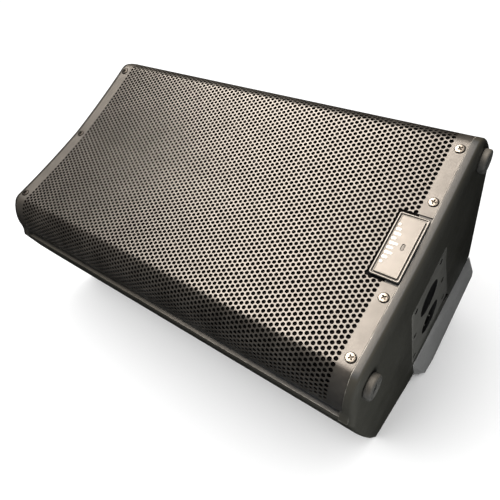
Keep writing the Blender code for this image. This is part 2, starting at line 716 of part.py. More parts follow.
def electronics():
    board = box(-7, 97, -38, 108, 228, 230)
    bits = ((0, 20, -30, 0, 216), (28, 60, -34, 10, 220), (66, 92, -30, 20, 218), (0, 30, 16, 40, 222),
            (40, 62, 20, 60, 217), (70, 90, 60, 100, 219), (4, 34, 60, 96, 215))
    for w0, w1, l0, l1, z in bits:
        board = add(board, box(w0, w1, l0, l1, z, 229))
    part("amp_board", board, "board")
    supply = box(0, 90, -171, -113, 250, 256)
    supply = add(supply, box(8, 52, -166, -120, 216, 252), box(60, 84, -166, -146, 228, 252),
                 box(60, 84, -140, -118, 224, 252))
    part("power_supply", supply, "ferrite")


def fan():
    w, l = FAN
    z0, z1 = 234.0, 249.0
    frame = slab(rounded(w, l, 30, 30, 4), z0, z1)
    frame = cut(frame, rod_z(w, l, 28, z0 - 2, z1 - 2, 32), rod_z(w, l, 24, z0 - 2, z1 + 2, 32))
    hub_plate = slab(circle(w, l, 9, 16), z1 - 1.8, z1)
    arms = [spun(box(-26, 26, -1.6, 1.6, z1 - 1.8, z1), Matrix.Translation((w, l, 0)) @ Matrix.Rotation(a, 4, "Z"))
            for a in (math.pi / 4, -math.pi / 4)]
    frame = add(frame, hub_plate, *arms)
    frame = cut(frame, rod_z(w, l, 2.4, z0 - 5, z1 + 5, 16))
    part("fan_housing", frame, "black_moulding")
    rotor = rod_z(w, l, 11, z0 + 1, z1 - 2.8, 24)
    for i in range(7):
        blade = box(9, 25.5, -1.0, 1.0, z0 + 2, z1 - 4)
        pitch = Matrix.Rotation(math.radians(35), 4, "X")
        lift = Matrix.Translation((0, 0, (z0 + z1 - 2) / 2))
        turn = Matrix.Translation((w, l, 0)) @ Matrix.Rotation(2 * math.pi * i / 7, 4, "Z")
        rotor = add(rotor, spun(blade, turn @ lift @ pitch @ lift.inverted()))
    rotor = add(rotor, rod_z(w, l, 2.0, z1 - 3, z1 - 0.4, 16))
    part("fan_rotor", rotor, "black_moulding", (w, l, 241))


def controls():
    part("display_window", slab(rounded(*DISPLAY, 32, 13, 2), FACE_Z + GAP, FACE_Z + 1.8), "display")
    for name, (w, l), r, h in (("menu_knob", MENU, 9.5, 14), ("gain_knob_1", GAINS[0], 8, 12),
                               ("gain_knob_2", GAINS[1], 8, 12)):
        z = FACE_Z + 0.6
        knob = turned(((0, z + h), (0, 250), (3.0, 250), (3.0, z), (r + 1, z), (r, z + 2), (r - 0.7, z + h - 1),
                       (r - 1.7, z + h)), w, l, 24)
        if name != "menu_knob":
            knob = cut(knob, box(w - 0.6, w + 0.6, l - r - 2, l - 2.5, z + h - 1.0, z + h + 2))
        else:
            knob = cut(knob, rod_z(w, l - 5, 1.8, z + h - 0.8, z + h + 2, 12))
        part(name, knob, "black_moulding", (w, l, z))
    for i, (w, l) in enumerate(BUTTONS):
        cap = turned(((0, FACE_Z + 2.6), (0, 255), (4.0, 255), (4.0, FACE_Z + 2), (3.4, FACE_Z + 2.6)), w, l, 20)
        part(f"menu_button_{i + 1}", cap, "rubber", (w, l, FACE_Z))
    for i, (w, l) in enumerate(JACKS):
        face = FACE_Z + GAP
        jack = add(slab(rounded(w, l, 13.5, 15.5, 2.5), face, face + 2.5), rod_z(w, l, 12.0, 242, face + 1, 24))
        jack = cut(jack, rod_z(w, l, 9.6, 250, 280, 24), rod_z(w, l, 3.3, 245, 280, 16))
        slot = box(w - 3.3, w + 3.3, l - 14.2, l - 9, face - 3, face + 6)
        part(f"combo_jack_{i + 1}", cut(jack, slot), "black_moulding")
        tab = box(w - 2.8, w + 2.8, l - 13.6, l - 11.4, face + 1.1, face + 4.4)
        part(f"jack_latch_{i + 1}", tab, "zinc", (w, l - 12.5, face + 2))
    w, l = INLET
    face = FACE_Z + GAP
    inlet = add(slab(rounded(w, l, 17, 13, 2), face, face + 2.2), box(w - 14, w + 14, l - 10, l + 10, 238, face + 1))
    inlet = cut(inlet, box(w - 12, w + 12, l - 8, l + 8, 243, 280))
    for dw in (-6.5, 0, 6.5):
        inlet = add(inlet, box(w + dw - 0.8, w + dw + 0.8, l - 2.5, l + 2.5, 241, 259))
    part("power_inlet", inlet, "black_moulding")
    w, l = ROCKER
    pivot_z = FACE_Z - 2.0
    section = [(w - 9.6, pivot_z + 6.0), (w - 9.6, pivot_z - 1), (w - 5, pivot_z - 5), (w + 5, pivot_z - 5),
               (w + 9.6, pivot_z - 1), (w + 9.6, pivot_z + 6.0), (w, pivot_z + 3.9)]
    rocker = spun(prism(section, l - 7, l + 7), about((w, l, pivot_z), math.radians(ROCKER_TILT), "Y"))
    part("power_rocker", rocker, "black_moulding", (w, l, pivot_z))


# ---------------------------------------------------------------------- handle
def handle():
    z0, z1 = HANDLE_Z
    half, wall = HANDLE_HALF - GAP, 2.5
    outer = box(-half, half, END_TOP + 1, END_TOP + HANDLE_DEPTH, z0 + GAP, z1 - GAP)
    inner = box(-half + wall, half - wall, END_TOP - 5, END_TOP + HANDLE_DEPTH - wall,
                z0 + GAP + wall, z1 - GAP - wall)
    cup = cut(outer, inner)
    mid = (z0 + z1) / 2
    grip = prism(rounded(0, mid, half - 1, 8, 3), END_TOP + 1, END_TOP + 19)
    part("handle_cup", add(cup, grip), "grey_moulding")


cabinet()
baffle()
grille()
badge()
stand_feet()
pole_socket()
rear_housing()
woofer()
horn()
ports()
amp_chassis()
heat_sink()
electronics()
fan()
controls()
handle()
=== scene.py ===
import json
import math
import random

import bmesh
import bpy
import numpy as np
from mathutils import Matrix, Vector, noise
from mathutils.geometry import delaunay_2d_cdt


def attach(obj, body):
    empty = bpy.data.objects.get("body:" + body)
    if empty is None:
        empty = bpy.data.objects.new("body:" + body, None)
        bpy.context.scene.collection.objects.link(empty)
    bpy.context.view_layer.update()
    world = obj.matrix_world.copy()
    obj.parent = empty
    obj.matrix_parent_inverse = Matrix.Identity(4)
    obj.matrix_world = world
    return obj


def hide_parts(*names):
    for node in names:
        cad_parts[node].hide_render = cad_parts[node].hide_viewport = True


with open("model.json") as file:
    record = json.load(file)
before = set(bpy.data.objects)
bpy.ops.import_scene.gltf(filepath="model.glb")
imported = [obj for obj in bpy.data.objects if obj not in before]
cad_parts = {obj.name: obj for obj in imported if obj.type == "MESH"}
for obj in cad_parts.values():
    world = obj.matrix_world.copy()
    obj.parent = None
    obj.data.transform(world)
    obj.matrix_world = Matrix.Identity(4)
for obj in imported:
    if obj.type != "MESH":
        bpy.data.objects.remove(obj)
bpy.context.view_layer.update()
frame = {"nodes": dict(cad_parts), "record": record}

# ------------------------------------------------------------------ cabinet frame
PITCH = 5.5
REST = math.radians(33)
REAR_Z = 260.8
NOTCH_W = -52.0
TIP_W = -148.5
TIP_Z = REAR_Z - (NOTCH_W - TIP_W) * math.tan(REST)
FLOOR_Z = TIP_W * math.sin(REST) - TIP_Z * math.cos(REST)
MID_X, MID_Y = 1.0, 74.35
C, S = math.cos(REST), math.sin(REST)
TO_WORLD = Matrix.Scale(0.001, 4) @ Matrix(
    ((0, 1, 0, -MID_X), (C, 0, S, -MID_Y), (S, 0, -C, -FLOOR_Z), (0, 0, 0, 1)))

END_BOTTOM, END_TOP = 255.0, -264.5
RIM, RIM_TOP = (14.0, 5.6), (3.0, 6.2)      # end rounding: across the edge, along the cabinet
RIM_SHARE = ((6.0, 34.0, 130.0), (1.0, 0.34, 0.15))      # z, and the part of the rounding there
HALF_WIDTH, LIP_Z = 161.0, 37.5
REAR_CORNER = (129.0, REAR_Z)
UPPER_CORNER = (141.0, 249.0)
GAP = 0.3
GRILLE_END_R, GRILLE_END_L = 243.2, -257.6
GRILLE_T = 1.2
DISH_SLOPE, DISH_CURVE, DISH_HALF = 0.025, 0.0019, 22.0 * PITCH
BENDS = ((3.0 * PITCH, math.radians(35), 10), (9.76 * PITCH, math.radians(79), 14))
NOTCH_HALF, NOTCH_W0, NOTCH_L = 38.0, -0.9, 211.0
BADGE_W, BADGE_L = -1.4, 228.4
LIGHT = (-2.0, 231.5)
LEVEL_BARS = (3.0, 5.4, 7.8, 6.2, 8.6, 4.6, 7.0, 5.0, 2.6)
SCREW_RING_R = 5.3             # hole in the sheet round a grille screw
GRILLE_SCREWS = ((-114.5, 237.0), (-53.0, 237.0), (53.0, 237.0), (114.5, 237.0),
                 (-115.5, -252.5), (-0.7, -251.2), (115.5, -252.5))


# ---------------------------------------------------------------------- meshes
WELD = 1e-4


def clean(bm):
    """Join equal points, drop slivers and loose edges, and turn the faces outward."""
    bmesh.ops.remove_doubles(bm, verts=bm.verts, dist=WELD)
    bmesh.ops.dissolve_degenerate(bm, dist=WELD, edges=bm.edges)
    bmesh.ops.delete(bm, geom=[e for e in bm.edges if not e.link_faces], context="EDGES")
    bmesh.ops.recalc_face_normals(bm, faces=bm.faces)
    if bm.calc_volume(signed=True) < 0:
        bmesh.ops.reverse_faces(bm, faces=bm.faces)


def solid(bm):
    clean(bm)
    mesh = bpy.data.meshes.new("solid")
    bm.to_mesh(mesh)
    bm.free()
    return mesh


def loft(rings):
    """Solid through rings of equal length, closed by its first and last ring."""
    bm = bmesh.new()
    rows = [[bm.verts.new(p) for p in ring] for ring in rings]
    for a, b in zip(rows, rows[1:]):
        for i in range(len(a)):
            j = (i + 1) % len(a)
            bm.faces.new((a[i], a[j], b[j], b[i]))
    bm.faces.new(rows[0])
    bm.faces.new(rows[-1])
    return solid(bm)


def prism(outline, l0, l1):
    return loft([[(w, l, z) for w, z in outline] for l in (l0, l1)])


def slab(outline, z0, z1):
    return loft([[(w, l, z) for w, l in outline] for z in (z0, z1)])


def box(w0, w1, l0, l1, z0, z1):
    return prism(((w0, z0), (w1, z0), (w1, z1), (w0, z1)), l0, l1)


def circle(cu, cv, r, n=48):
    steps = (2 * math.pi * i / n for i in range(n))
    return [(cu + r * math.cos(a), cv + r * math.sin(a)) for a in steps]


def rounded(cu, cv, hu, hv, r, n=8):
    """Rectangle with round corners, from its centre and half sizes."""
    out = []
    for k, (su, sv) in enumerate(((1, 1), (-1, 1), (-1, -1), (1, -1))):
        for i in range(n + 1):
            a = math.pi / 2 * (k + i / n)
            out.append((cu + su * (hu - r) + r * math.cos(a), cv + sv * (hv - r) + r * math.sin(a)))
    return out


def lathe(profile, n=48):
    """Closed profile of (radius, height) turned about the local height axis."""
    bm = bmesh.new()
    rows = []
    for i in range(n):
        a = 2 * math.pi * i / n
        rows.append([bm.verts.new((r * math.cos(a), r * math.sin(a), h)) for r, h in profile])
    count = len(profile)
    for i in range(n):
        a, b = rows[i], rows[(i + 1) % n]
        for j in range(count):
            k = (j + 1) % count
            bm.faces.new((a[j], a[k], b[k], b[j]))
    return solid(bm)


def moved(mesh, matrix):
    mesh.transform(matrix)
    return mesh


def facing_l(w, l, z, turn=0.0):
    """Local height axis along +l (out of the bottom end), base at the point."""
    return (Matrix.Translation((w, l, z)) @ Matrix.Rotation(math.radians(-90), 4, "X")
            @ Matrix.Rotation(turn, 4, "Z"))


def facing_front(w, l, z, tilt=0.0, turn=0.0):
    """Local height axis along -z (out of the front), base at the point; tilt about l."""
    return (Matrix.Translation((w, l, z)) @ Matrix.Rotation(tilt, 4, "Y")
            @ Matrix.Rotation(math.pi, 4, "X") @ Matrix.Rotation(turn, 4, "Z"))


def combine(base, others, operation):
    """Exact boolean of a mesh with each of the others in turn."""
    target = bpy.data.objects.new("work", base)
    bpy.context.scene.collection.objects.link(target)
    for other in others:
        tool = bpy.data.objects.new("tool", other)
        bpy.context.scene.collection.objects.link(tool)
        mod = target.modifiers.new("b", "BOOLEAN")
        mod.operation, mod.solver, mod.object = operation, "EXACT", tool
        graph = bpy.context.evaluated_depsgraph_get()
        result = bpy.data.meshes.new_from_object(target.evaluated_get(graph))
        target.modifiers.clear()
        target.data = result
        bpy.data.objects.remove(tool, do_unlink=True)
    mesh = target.data
    bpy.data.objects.remove(target, do_unlink=True)
    return mesh


def cut(base, *tools):
    return combine(base, tools, "DIFFERENCE")


def add(base, *tools):
    return combine(base, tools, "UNION")


def piece(name, mesh, mat, stands_for=(), smooth=32):
    """A finished visual piece from a cabinet-frame mesh, riding on the cabinet."""
    mesh.transform(TO_WORLD)
    mesh.name = name
    mesh.materials.clear()
    mesh.materials.append(mat)
    mesh.polygons.foreach_set("material_index", [0] * len(mesh.polygons))
    mesh.shade_smooth()
    mesh.set_sharp_from_angle(angle=math.radians(smooth))
    obj = bpy.data.objects.new(name, mesh)
    bpy.context.scene.collection.objects.link(obj)
    if stands_for:
        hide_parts(*stands_for)
    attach(obj, "cabinet")
    return obj


# ------------------------------------------------------------------- materials
# painted shade: the plastic goes black over the rim at the cabinet's top end, below these x values
RIM_SHADE_X = (-0.2585, -0.2595)
RIM_SHADE_COLOUR = (0.002, 0.002, 0.002)
FRONT_NORMAL = (0.0, -0.545, 0.839)


def surface(name, colour, rough, metal=0.0, tone=0.25, tone_size=60.0, grain=0.06,
            grain_size=1400.0, painted_light=None, dust=None, wear_and_highlight=None, spec=0.5, rough_spread=0.08,
            bump_depth=0.0004):
    """Procedural surface: two-tone mottle, fine grain, optional dust, rubbed edges and painted
    light.

    dust is (colour, amount, noise size); the rubbed-edge entry is (colour, amount, edge radius in
    metres); the painted-light entry is (colour, direction, reach): a painted sheen, a paler tone on
    surfaces that face the direction, growing along x over the reach towards the lit bottom end, and
    painted shade, a black rim at the cabinet's top end. With painted light the rubbed edges are
    kept to the lit front-facing surfaces, so their pale colour is partly real rubbing and partly a
    painted highlight.
    """
    mat = bpy.data.materials.new(name)
    mat.use_nodes = True
    tree = mat.node_tree
    shader = tree.nodes["Principled BSDF"]
    make = tree.nodes.new
    link = tree.links.new
    shader.inputs["Metallic"].default_value = metal
    shader.inputs["Specular IOR Level"].default_value = spec
    coords = make("ShaderNodeTexCoord").outputs["Object"]

    def noise_at(scale, detail=4.0, rough_=0.55):
        node = make("ShaderNodeTexNoise")
        node.inputs["Scale"].default_value = scale
        node.inputs["Detail"].default_value = detail
        node.inputs["Roughness"].default_value = rough_
        link(coords, node.inputs["Vector"])
        return node.outputs["Fac"]

    def facing(normal, direction):
        """How much a normal agrees with a direction, a vector or another node's normal."""
        node = make("ShaderNodeVectorMath")
        node.operation = "DOT_PRODUCT"
        link(normal, node.inputs[0])
        if isinstance(direction, tuple):
            node.inputs[1].default_value = direction
        else:
            link(direction, node.inputs[1])
        return node.outputs["Value"]

    def remap(value, a, b, c, d):
        node = make("ShaderNodeMapRange")
        for key, number in (("From Min", a), ("From Max", b), ("To Min", c), ("To Max", d)):
            node.inputs[key].default_value = number
        link(value, node.inputs["Value"])
        return node.outputs["Result"]

    def mix(fac, a, b):
        node = make("ShaderNodeMix")
        node.data_type = "RGBA"
        link(fac, node.inputs["Factor"])
        for key, value in (("A", a), ("B", b)):
            socket = [s for s in node.inputs if s.name == key and s.type == "RGBA"][0]
            if isinstance(value, tuple):
                socket.default_value = (*value, 1.0)
            else:
                link(value, socket)
        return [s for s in node.outputs if s.type == "RGBA"][0]

    def times(a, b):
        node = make("ShaderNodeMath")
        node.operation = "MULTIPLY"
        link(a, node.inputs[0])
        link(b, node.inputs[1])
        return node.outputs[0]

    low = tuple(c * (1 - tone) for c in colour)
    high = tuple(min(c * (1 + tone), 1.0) for c in colour)
    mottle = noise_at(tone_size, 5.0)
    base = mix(remap(mottle, 0.32, 0.68, 0.0, 1.0), low, high)
    gloss = remap(noise_at(tone_size * 2.3, 6.0, 0.65), 0.3, 0.7,
                  rough - rough_spread, rough + rough_spread)
    if dust:
        dust_colour, amount, size = dust
        spots = remap(noise_at(size, 8.0, 0.7), 0.55, 0.78, 0.0, amount)
        base = mix(spots, base, dust_colour)
    # painted sheen: a paler tone on front-facing surfaces, growing towards the lit bottom end
    if painted_light:
        sheen_colour, direction, reach = painted_light
        parts = make("ShaderNodeSeparateXYZ")
        link(coords, parts.inputs[0])
        agreement = facing(make("ShaderNodeNewGeometry").outputs["Normal"], direction)
        along = remap(parts.outputs["X"], *reach, 0.0, 1.0)
        front = remap(agreement, 0.6, 0.9, 0.0, 1.0)
        sheen_mask = times(remap(agreement, 0.90, 0.985, 0.0, 1.0), along)
        patches = remap(noise_at(220.0, 6.0, 0.7), 0.3, 0.7, 0.6, 1.0)
        base = mix(times(sheen_mask, patches), base, sheen_colour)
        # painted shade: black over the rim at the top end
        base = mix(remap(parts.outputs["X"], *RIM_SHADE_X, 0.0, 1.0), base, RIM_SHADE_COLOUR)
    if wear_and_highlight:
        wear_and_highlight_colour, amount, radius = wear_and_highlight
        bevel = make("ShaderNodeBevel")
        bevel.samples = 6
        bevel.inputs["Radius"].default_value = radius
        plain = make("ShaderNodeNewGeometry").outputs["Normal"]
        edge = remap(facing(bevel.outputs["Normal"], plain), 0.985, 0.86, 0.0, 1.0)
        patch = remap(noise_at(150.0, 8.0, 0.7), 0.42, 0.62, 0.15, 1.0)
        worn_and_highlit = times(times(edge, patch), remap(noise_at(25.0), 0.3, 0.6, 0.3 * amount, amount))
        # painted highlight: the rubbed edges are kept to lit front-facing surfaces at the bottom
        # end
        if painted_light:
            worn_and_highlit = times(worn_and_highlit, remap(times(along, front), 0.0, 1.0, 0.12, 1.0))
        base = mix(worn_and_highlit, base, wear_and_highlight_colour)
    link(base, shader.inputs["Base Color"])
    link(gloss, shader.inputs["Roughness"])
    bump = make("ShaderNodeBump")
    bump.inputs["Strength"].default_value = min(grain * 4, 1.0)
    bump.inputs["Distance"].default_value = bump_depth
    link(noise_at(grain_size, 3.0, 0.6), bump.inputs["Height"])
    link(bump.outputs["Normal"], shader.inputs["Normal"])
    return mat


STEEL = surface("powder_coat", (0.018, 0.0175, 0.0165), 0.34, tone=0.3, tone_size=35,
                grain=0.05, grain_size=1800, spec=0.42, rough_spread=0.05,
                dust=((0.05, 0.045, 0.04), 0.3, 90.0))
# black plastic with painted light: a pale sheen and pale rubbed rims on the lit front-facing
# surfaces at the bottom end stand for the key light's highlight, and the top end's rim is painted
# black as shade
PLASTIC = surface("cabinet_plastic", (0.018, 0.018, 0.0155), 0.40, tone=0.12, tone_size=14,
                  grain=0.07, grain_size=900, spec=0.22,
                  dust=((0.05, 0.05, 0.045), 0.10, 120.0), wear_and_highlight=((0.50, 0.49, 0.46), 1.0, 0.0011),
                  painted_light=((0.024, 0.027, 0.030), FRONT_NORMAL, (-0.05, 0.2)))
GREY = surface("grey_plastic", (0.080, 0.081, 0.080), 0.50, tone=0.15, tone_size=14,
               grain=0.08, grain_size=900, spec=0.35,
               dust=((0.10, 0.10, 0.09), 0.15, 140.0), wear_and_highlight=((0.22, 0.22, 0.21), 0.7, 0.0010))
PAD_GREY = surface("socket_plastic", (0.042, 0.042, 0.038), 0.50, tone=0.15, tone_size=14,
                   grain=0.08, grain_size=900, spec=0.30,
                   dust=((0.08, 0.08, 0.07), 0.15, 140.0), wear_and_highlight=((0.16, 0.16, 0.15), 0.8, 0.0010))
# near-black painted shade for the insides of the pole sockets and the socket screws' recesses
BORE_SHADE = surface("socket_bore_shade", (0.004, 0.004, 0.004), 0.60, tone=0.3, tone_size=40,
                grain=0.06, grain_size=900, spec=0.10)
ZINC = surface("plated_screw", (0.50, 0.47, 0.43), 0.34, metal=1.0, tone=0.25, tone_size=300,
               grain=0.04, grain_size=3000, rough_spread=0.08,
               dust=((0.10, 0.08, 0.06), 0.35, 600.0))
# the grille screws in two painted tones: darker as painted shade at the dim top end, lighter as
# painted highlight at the lit bottom end
SCREW_SHADED = surface("screw_painted_shade", (0.020, 0.019, 0.018), 0.36, metal=1.0, tone=0.2,
                     tone_size=300, grain=0.03, grain_size=3000, rough_spread=0.05)
SCREW_LIT = surface("screw_painted_lit", (0.11, 0.105, 0.098), 0.30, metal=1.0, tone=0.12,
                       tone_size=300, grain=0.03, grain_size=3000, rough_spread=0.05)
ALUMINIUM = surface("cast_aluminium", (0.30, 0.30, 0.31), 0.42, metal=1.0, tone=0.2,
                    tone_size=60, grain=0.12)
RUBBER = surface("foot_rubber", (0.030, 0.030, 0.028), 0.66, tone=0.3, tone_size=120,
                 grain=0.12, grain_size=1500, spec=0.35,
                 dust=((0.09, 0.085, 0.08), 0.3, 160.0), wear_and_highlight=((0.12, 0.12, 0.11), 0.8, 0.0012))
FOAM = surface("acoustic_foam", (0.003, 0.003, 0.003), 0.95, tone=0.5, tone_size=400,
               grain=0.25, grain_size=900, spec=0.0, bump_depth=0.001)
CONE = surface("paper_cone", (0.03, 0.03, 0.032), 0.88, tone=0.3, tone_size=120,
               grain=0.25, grain_size=600)
CLOTH = surface("spider_cloth", (0.42, 0.30, 0.14), 0.90, tone=0.2, tone_size=300,
                grain=0.25, grain_size=1200)
COPPER = surface("coil_copper", (0.62, 0.28, 0.14), 0.35, metal=1.0, tone=0.2, tone_size=200)
FERRITE = surface("ferrite", (0.06, 0.06, 0.065), 0.65, tone=0.25, tone_size=80, grain=0.2)
BOARD = surface("circuit_board", (0.02, 0.10, 0.045), 0.45, tone=0.2, tone_size=100)
DISPLAY = surface("display_glass", (0.010, 0.014, 0.020), 0.10, tone=0.2, tone_size=20,
                  grain=0.01, rough_spread=0.03)
WINDOW = surface("light_window", (0.035, 0.034, 0.033), 0.5, tone=0.3, tone_size=200,
                 grain=0.02, rough_spread=0.04)
PLY = surface("painted_ply", (0.016, 0.015, 0.014), 0.70, tone=0.25, tone_size=25,
              grain=0.15, spec=0.25)
PLATE = surface("badge_plate_finish", (0.024, 0.022, 0.019), 0.32, tone=0.12, tone_size=60,
                grain=0.03, grain_size=1600, spec=0.50, rough_spread=0.03)
BEZEL = surface("badge_rim_finish", (0.020, 0.020, 0.019), 0.28, tone=0.12, tone_size=60,
                grain=0.02, grain_size=1600, spec=0.62, rough_spread=0.03)
SILVER = surface("badge_mark_finish", (0.42, 0.41, 0.40), 0.30, tone=0.06, tone_size=80,
                 grain=0.02, spec=0.7)
SLOTS = {"black_moulding": PLASTIC, "grey_moulding": GREY, "black_steel": STEEL, "zinc": ZINC,
         "aluminium": ALUMINIUM, "rubber": RUBBER, "foam": FOAM, "paper_cone": CONE, "cloth": CLOTH,
         "copper": COPPER, "ferrite": FERRITE, "board": BOARD, "display": DISPLAY, "window": WINDOW,
         "plywood": PLY}
for part in frame["record"]["subparts"]:
    node = frame["nodes"][part["node"]]
    for holder in node.material_slots:
        holder.material = SLOTS[part["material_slot"]]


# -------------------------------------------------------------- grille profile
def front_curve():
    """Half of the grille's section from the centre out: arc length, w, z and slope."""
    rows = [(0.0, 0.0, 0.0, -math.atan(DISH_SLOPE))]
    steps = 60
    s = 0.0
    for i in range(1, steps + 1):
        w0, z0 = rows[-1][1:3]
        w = DISH_HALF * i / steps
        p = w / PITCH
        z = -PITCH * (DISH_SLOPE * p + DISH_CURVE * p * p)
        s += math.hypot(w - w0, z - z0)
        rows.append((s, w, z, -math.atan(DISH_SLOPE + 2 * DISH_CURVE * p)))
    slope = rows[-1][3]
    w, z = rows[-1][1:3]
    for radius, stop, n in BENDS:
        turn = (stop - slope) / n
        chord = 2 * radius * math.sin(turn / 2)
        for _ in range(n):
            w += chord * math.cos(slope + turn / 2)
            z += chord * math.sin(slope + turn / 2)
            slope += turn
            s += chord
            rows.append((s, w, z, slope))
    return np.array(rows)


CURVE = front_curve()
HALF_ARC = float(CURVE[-1, 0])


def on_front(s, depth):
    """(w, z) arrays for arc length s and depth behind the outer face."""
    side = np.sign(s)
    a = np.abs(s)
    w = np.interp(a, CURVE[:, 0], CURVE[:, 1])
    z = np.interp(a, CURVE[:, 0], CURVE[:, 2])
    slope = np.interp(a, CURVE[:, 0], CURVE[:, 3])
    flat = np.clip(a / (2 * PITCH), 0.0, 1.0)
    slope = slope * flat
    w = w - np.sin(slope) * depth
    z = z + np.cos(slope) * depth
    return w * np.where(side == 0, 1, side), z


def arc_at(w):
    """Arc length where the section reaches w."""
    return math.copysign(float(np.interp(abs(w), CURVE[:, 1], CURVE[:, 0])), w)


# ---------------------------------------------------------- perforated grille
HOLE_R = 0.40 * PITCH
ROW = PITCH * math.sqrt(3) / 2
ROW_0 = -43.7 * PITCH
ROWS = 99
SHEET_BACK = 0.15              # the sheet lies this far behind the CAD face
LAST_HOLE_ARC = HALF_ARC - 0.75 * PITCH
EDGE_STEPS, SIDE_STEPS = 132, 90
STRIP_ROWS = (-256.5, -253.0, -249.5, -246.5, 235.0, 238.0, 241.0)      # points in the end strips


def merge_flat(parts):
    """One point list and face list from (points, faces) parts, with equal points joined."""
    points = np.concatenate([p for p, _ in parts])
    shift, faces = 0, []
    for p, f in parts:
        faces.append([[i + shift for i in row] for row in f])
        shift += len(p)
    keys, index = np.unique(np.round(points, 3), axis=0, return_inverse=True)
    index = index.ravel()
    out = []
    for group in faces:
        for row in group:
            ids = []
            for i in row:
                j = int(index[i])
                if not ids or (j != ids[-1] and j != ids[0]):
                    ids.append(j)
            if len(ids) > 2:
                out.append(ids)
    return keys, out


def cell_centre(j, k):
    """Centre (s, l) of hole j in row k; every second row is shifted by half a pitch."""
    return (j + (0.5 if k % 2 else 0.0)) * PITCH, ROW_0 + k * ROW


def cell_key(s, k):
    """Whole-number name of a cell: half pitches along s, and its row."""
    return round(s / (PITCH / 2)), k


def cells_round(s, l):
    """(distance, centre, row) of the pattern's cells round a point."""
    k0 = round((l - ROW_0) / ROW)
    for k in (k0 - 1, k0, k0 + 1):
        j0 = round(s / PITCH - (0.5 if k % 2 else 0.0))
        for j in (j0 - 1, j0, j0 + 1):
            centre = cell_centre(j, k)
            yield math.hypot(s - centre[0], l - centre[1]), centre, k


def grille_cells():
    """Hole centres (s, l) of the whole pattern."""
    count = int(LAST_HOLE_ARC / PITCH) + 1
    cells = [cell_centre(j, k) for k in range(ROWS) for j in range(-count, count + 1)]
    return np.array([cell for cell in cells if abs(cell[0]) <= LAST_HOLE_ARC])


def regular_cells(cells, hole):
    """Faces round every hole of the given cells: a hexagon with a twelve-sided hole."""
    angles = np.arange(12) * math.pi / 6
    reach = np.where(np.arange(12) % 2 == 0, PITCH / 2, PITCH / math.sqrt(3))
    ring = np.stack([np.cos(angles) * reach, np.sin(angles) * reach], 1)
    pattern = np.concatenate([ring, hole])
    points = (cells[:, None, :] + pattern[None]).reshape(-1, 2)
    quads = []
    for start in range(0, 24 * len(cells), 24):
        for i in range(12):
            j = (i + 1) % 12
            quads.append((start + i, start + j, start + 12 + j, start + 12 + i))
    return merge_flat([(points, quads)])


def outer_border(keys, faces, regular_keys):
    """Edges that end the regular cells, without the edges of their holes."""
    count = {}
    for row in faces:
        for i, a in enumerate(row):
            b = row[(i + 1) % len(row)]
            key = (min(a, b), max(a, b))
            count[key] = count.get(key, 0) + 1
    border = []
    for (a, b), n in count.items():
        if n == 1:
            s, l = (keys[a] + keys[b]) / 2
            if not any(gap < HOLE_R * 1.02 and cell_key(centre[0], k) in regular_keys
                       for gap, centre, k in cells_round(s, l)):
                border.append((a, b))
    return border


def sheet_faces():
    """Flat pattern of the sheet in (s, l): faces round every hole and along the borders."""
    cells = grille_cells()
    near_badge = ((np.abs(cells[:, 0] - NOTCH_W0) < NOTCH_HALF + 1.3 * PITCH)
                  & (cells[:, 1] > NOTCH_L - 1.3 * PITCH))
    regular, special = cells[~near_badge], cells[near_badge]
    angles = np.arange(12) * math.pi / 6
    hole = np.stack([np.cos(angles), np.sin(angles)], 1) * HOLE_R
    keys, faces = regular_cells(regular, hole)
    regular_keys = {cell_key(s, round((l - ROW_0) / ROW)) for s, l in regular}
    border = outer_border(keys, faces, regular_keys)
    used = sorted({i for edge in border for i in edge})
    number = {i: n for n, i in enumerate(used)}
    flat = [Vector(keys[i]) for i in used]
    edges = [(number[a], number[b]) for a, b in border]

    def loop(pts):
        start = len(flat)
        flat.extend(Vector(p) for p in pts)
        edges.extend((start + i, start + (i + 1) % len(pts)) for i in range(len(pts)))

    # outer edge, with points close enough for the bends
    line = [-HALF_ARC + 2 * HALF_ARC * i / EDGE_STEPS for i in range(EDGE_STEPS + 1)]
    length = GRILLE_END_R - GRILLE_END_L
    sides = [GRILLE_END_L + length * i / SIDE_STEPS for i in range(1, SIDE_STEPS)]
    loop([(s, GRILLE_END_L) for s in line] + [(HALF_ARC, l) for l in sides]
         + [(s, GRILLE_END_R) for s in reversed(line)] + [(-HALF_ARC, l) for l in reversed(sides)])
    low, high = NOTCH_W0 - NOTCH_HALF, NOTCH_W0 + NOTCH_HALF
    past = GRILLE_END_R + 3
    loop([(low, past), (low, NOTCH_L), (high, NOTCH_L), (high, past)])
    for s, l in special:
        loop([(s + x, l + y) for x, y in hole])
    rings = [(arc_at(w), l) for w, l in GRILLE_SCREWS]
    for s, l in rings:
        loop(circle(s, l, SCREW_RING_R, 36))
    for s in line[1:-1]:
        for l in STRIP_ROWS:
            if abs(s - NOTCH_W0) > NOTCH_HALF + 1 or l < 0:
                if all(math.hypot(s - a, l - b) > SCREW_RING_R + 1.0 for a, b in rings):
                    flat.append(Vector((s, l)))
    found = delaunay_2d_cdt(flat, edges, [], 0, 1e-5)
    coords = np.array([tuple(v) for v in found[0]])

    def is_open(s, l):
        """True where the sheet has no metal, or where the regular cells already are."""
        if abs(s) > HALF_ARC or not GRILLE_END_L < l < GRILLE_END_R:
            return True
        if abs(s - NOTCH_W0) < NOTCH_HALF and l > NOTCH_L:
            return True
        if any(math.hypot(s - a, l - b) < SCREW_RING_R - 0.03 for a, b in rings):
            return True
        gap, centre, k = min(cells_round(s, l))
        if cell_key(centre[0], k) in regular_keys:
            return True
        return gap < HOLE_R * 0.985 and any(math.dist(centre, cell) < 0.01 for cell in special)

    tris = [tuple(tri) for tri in found[2] if not is_open(*coords[list(tri)].mean(0))]
    return merge_flat([(keys, faces), (coords, tris)])


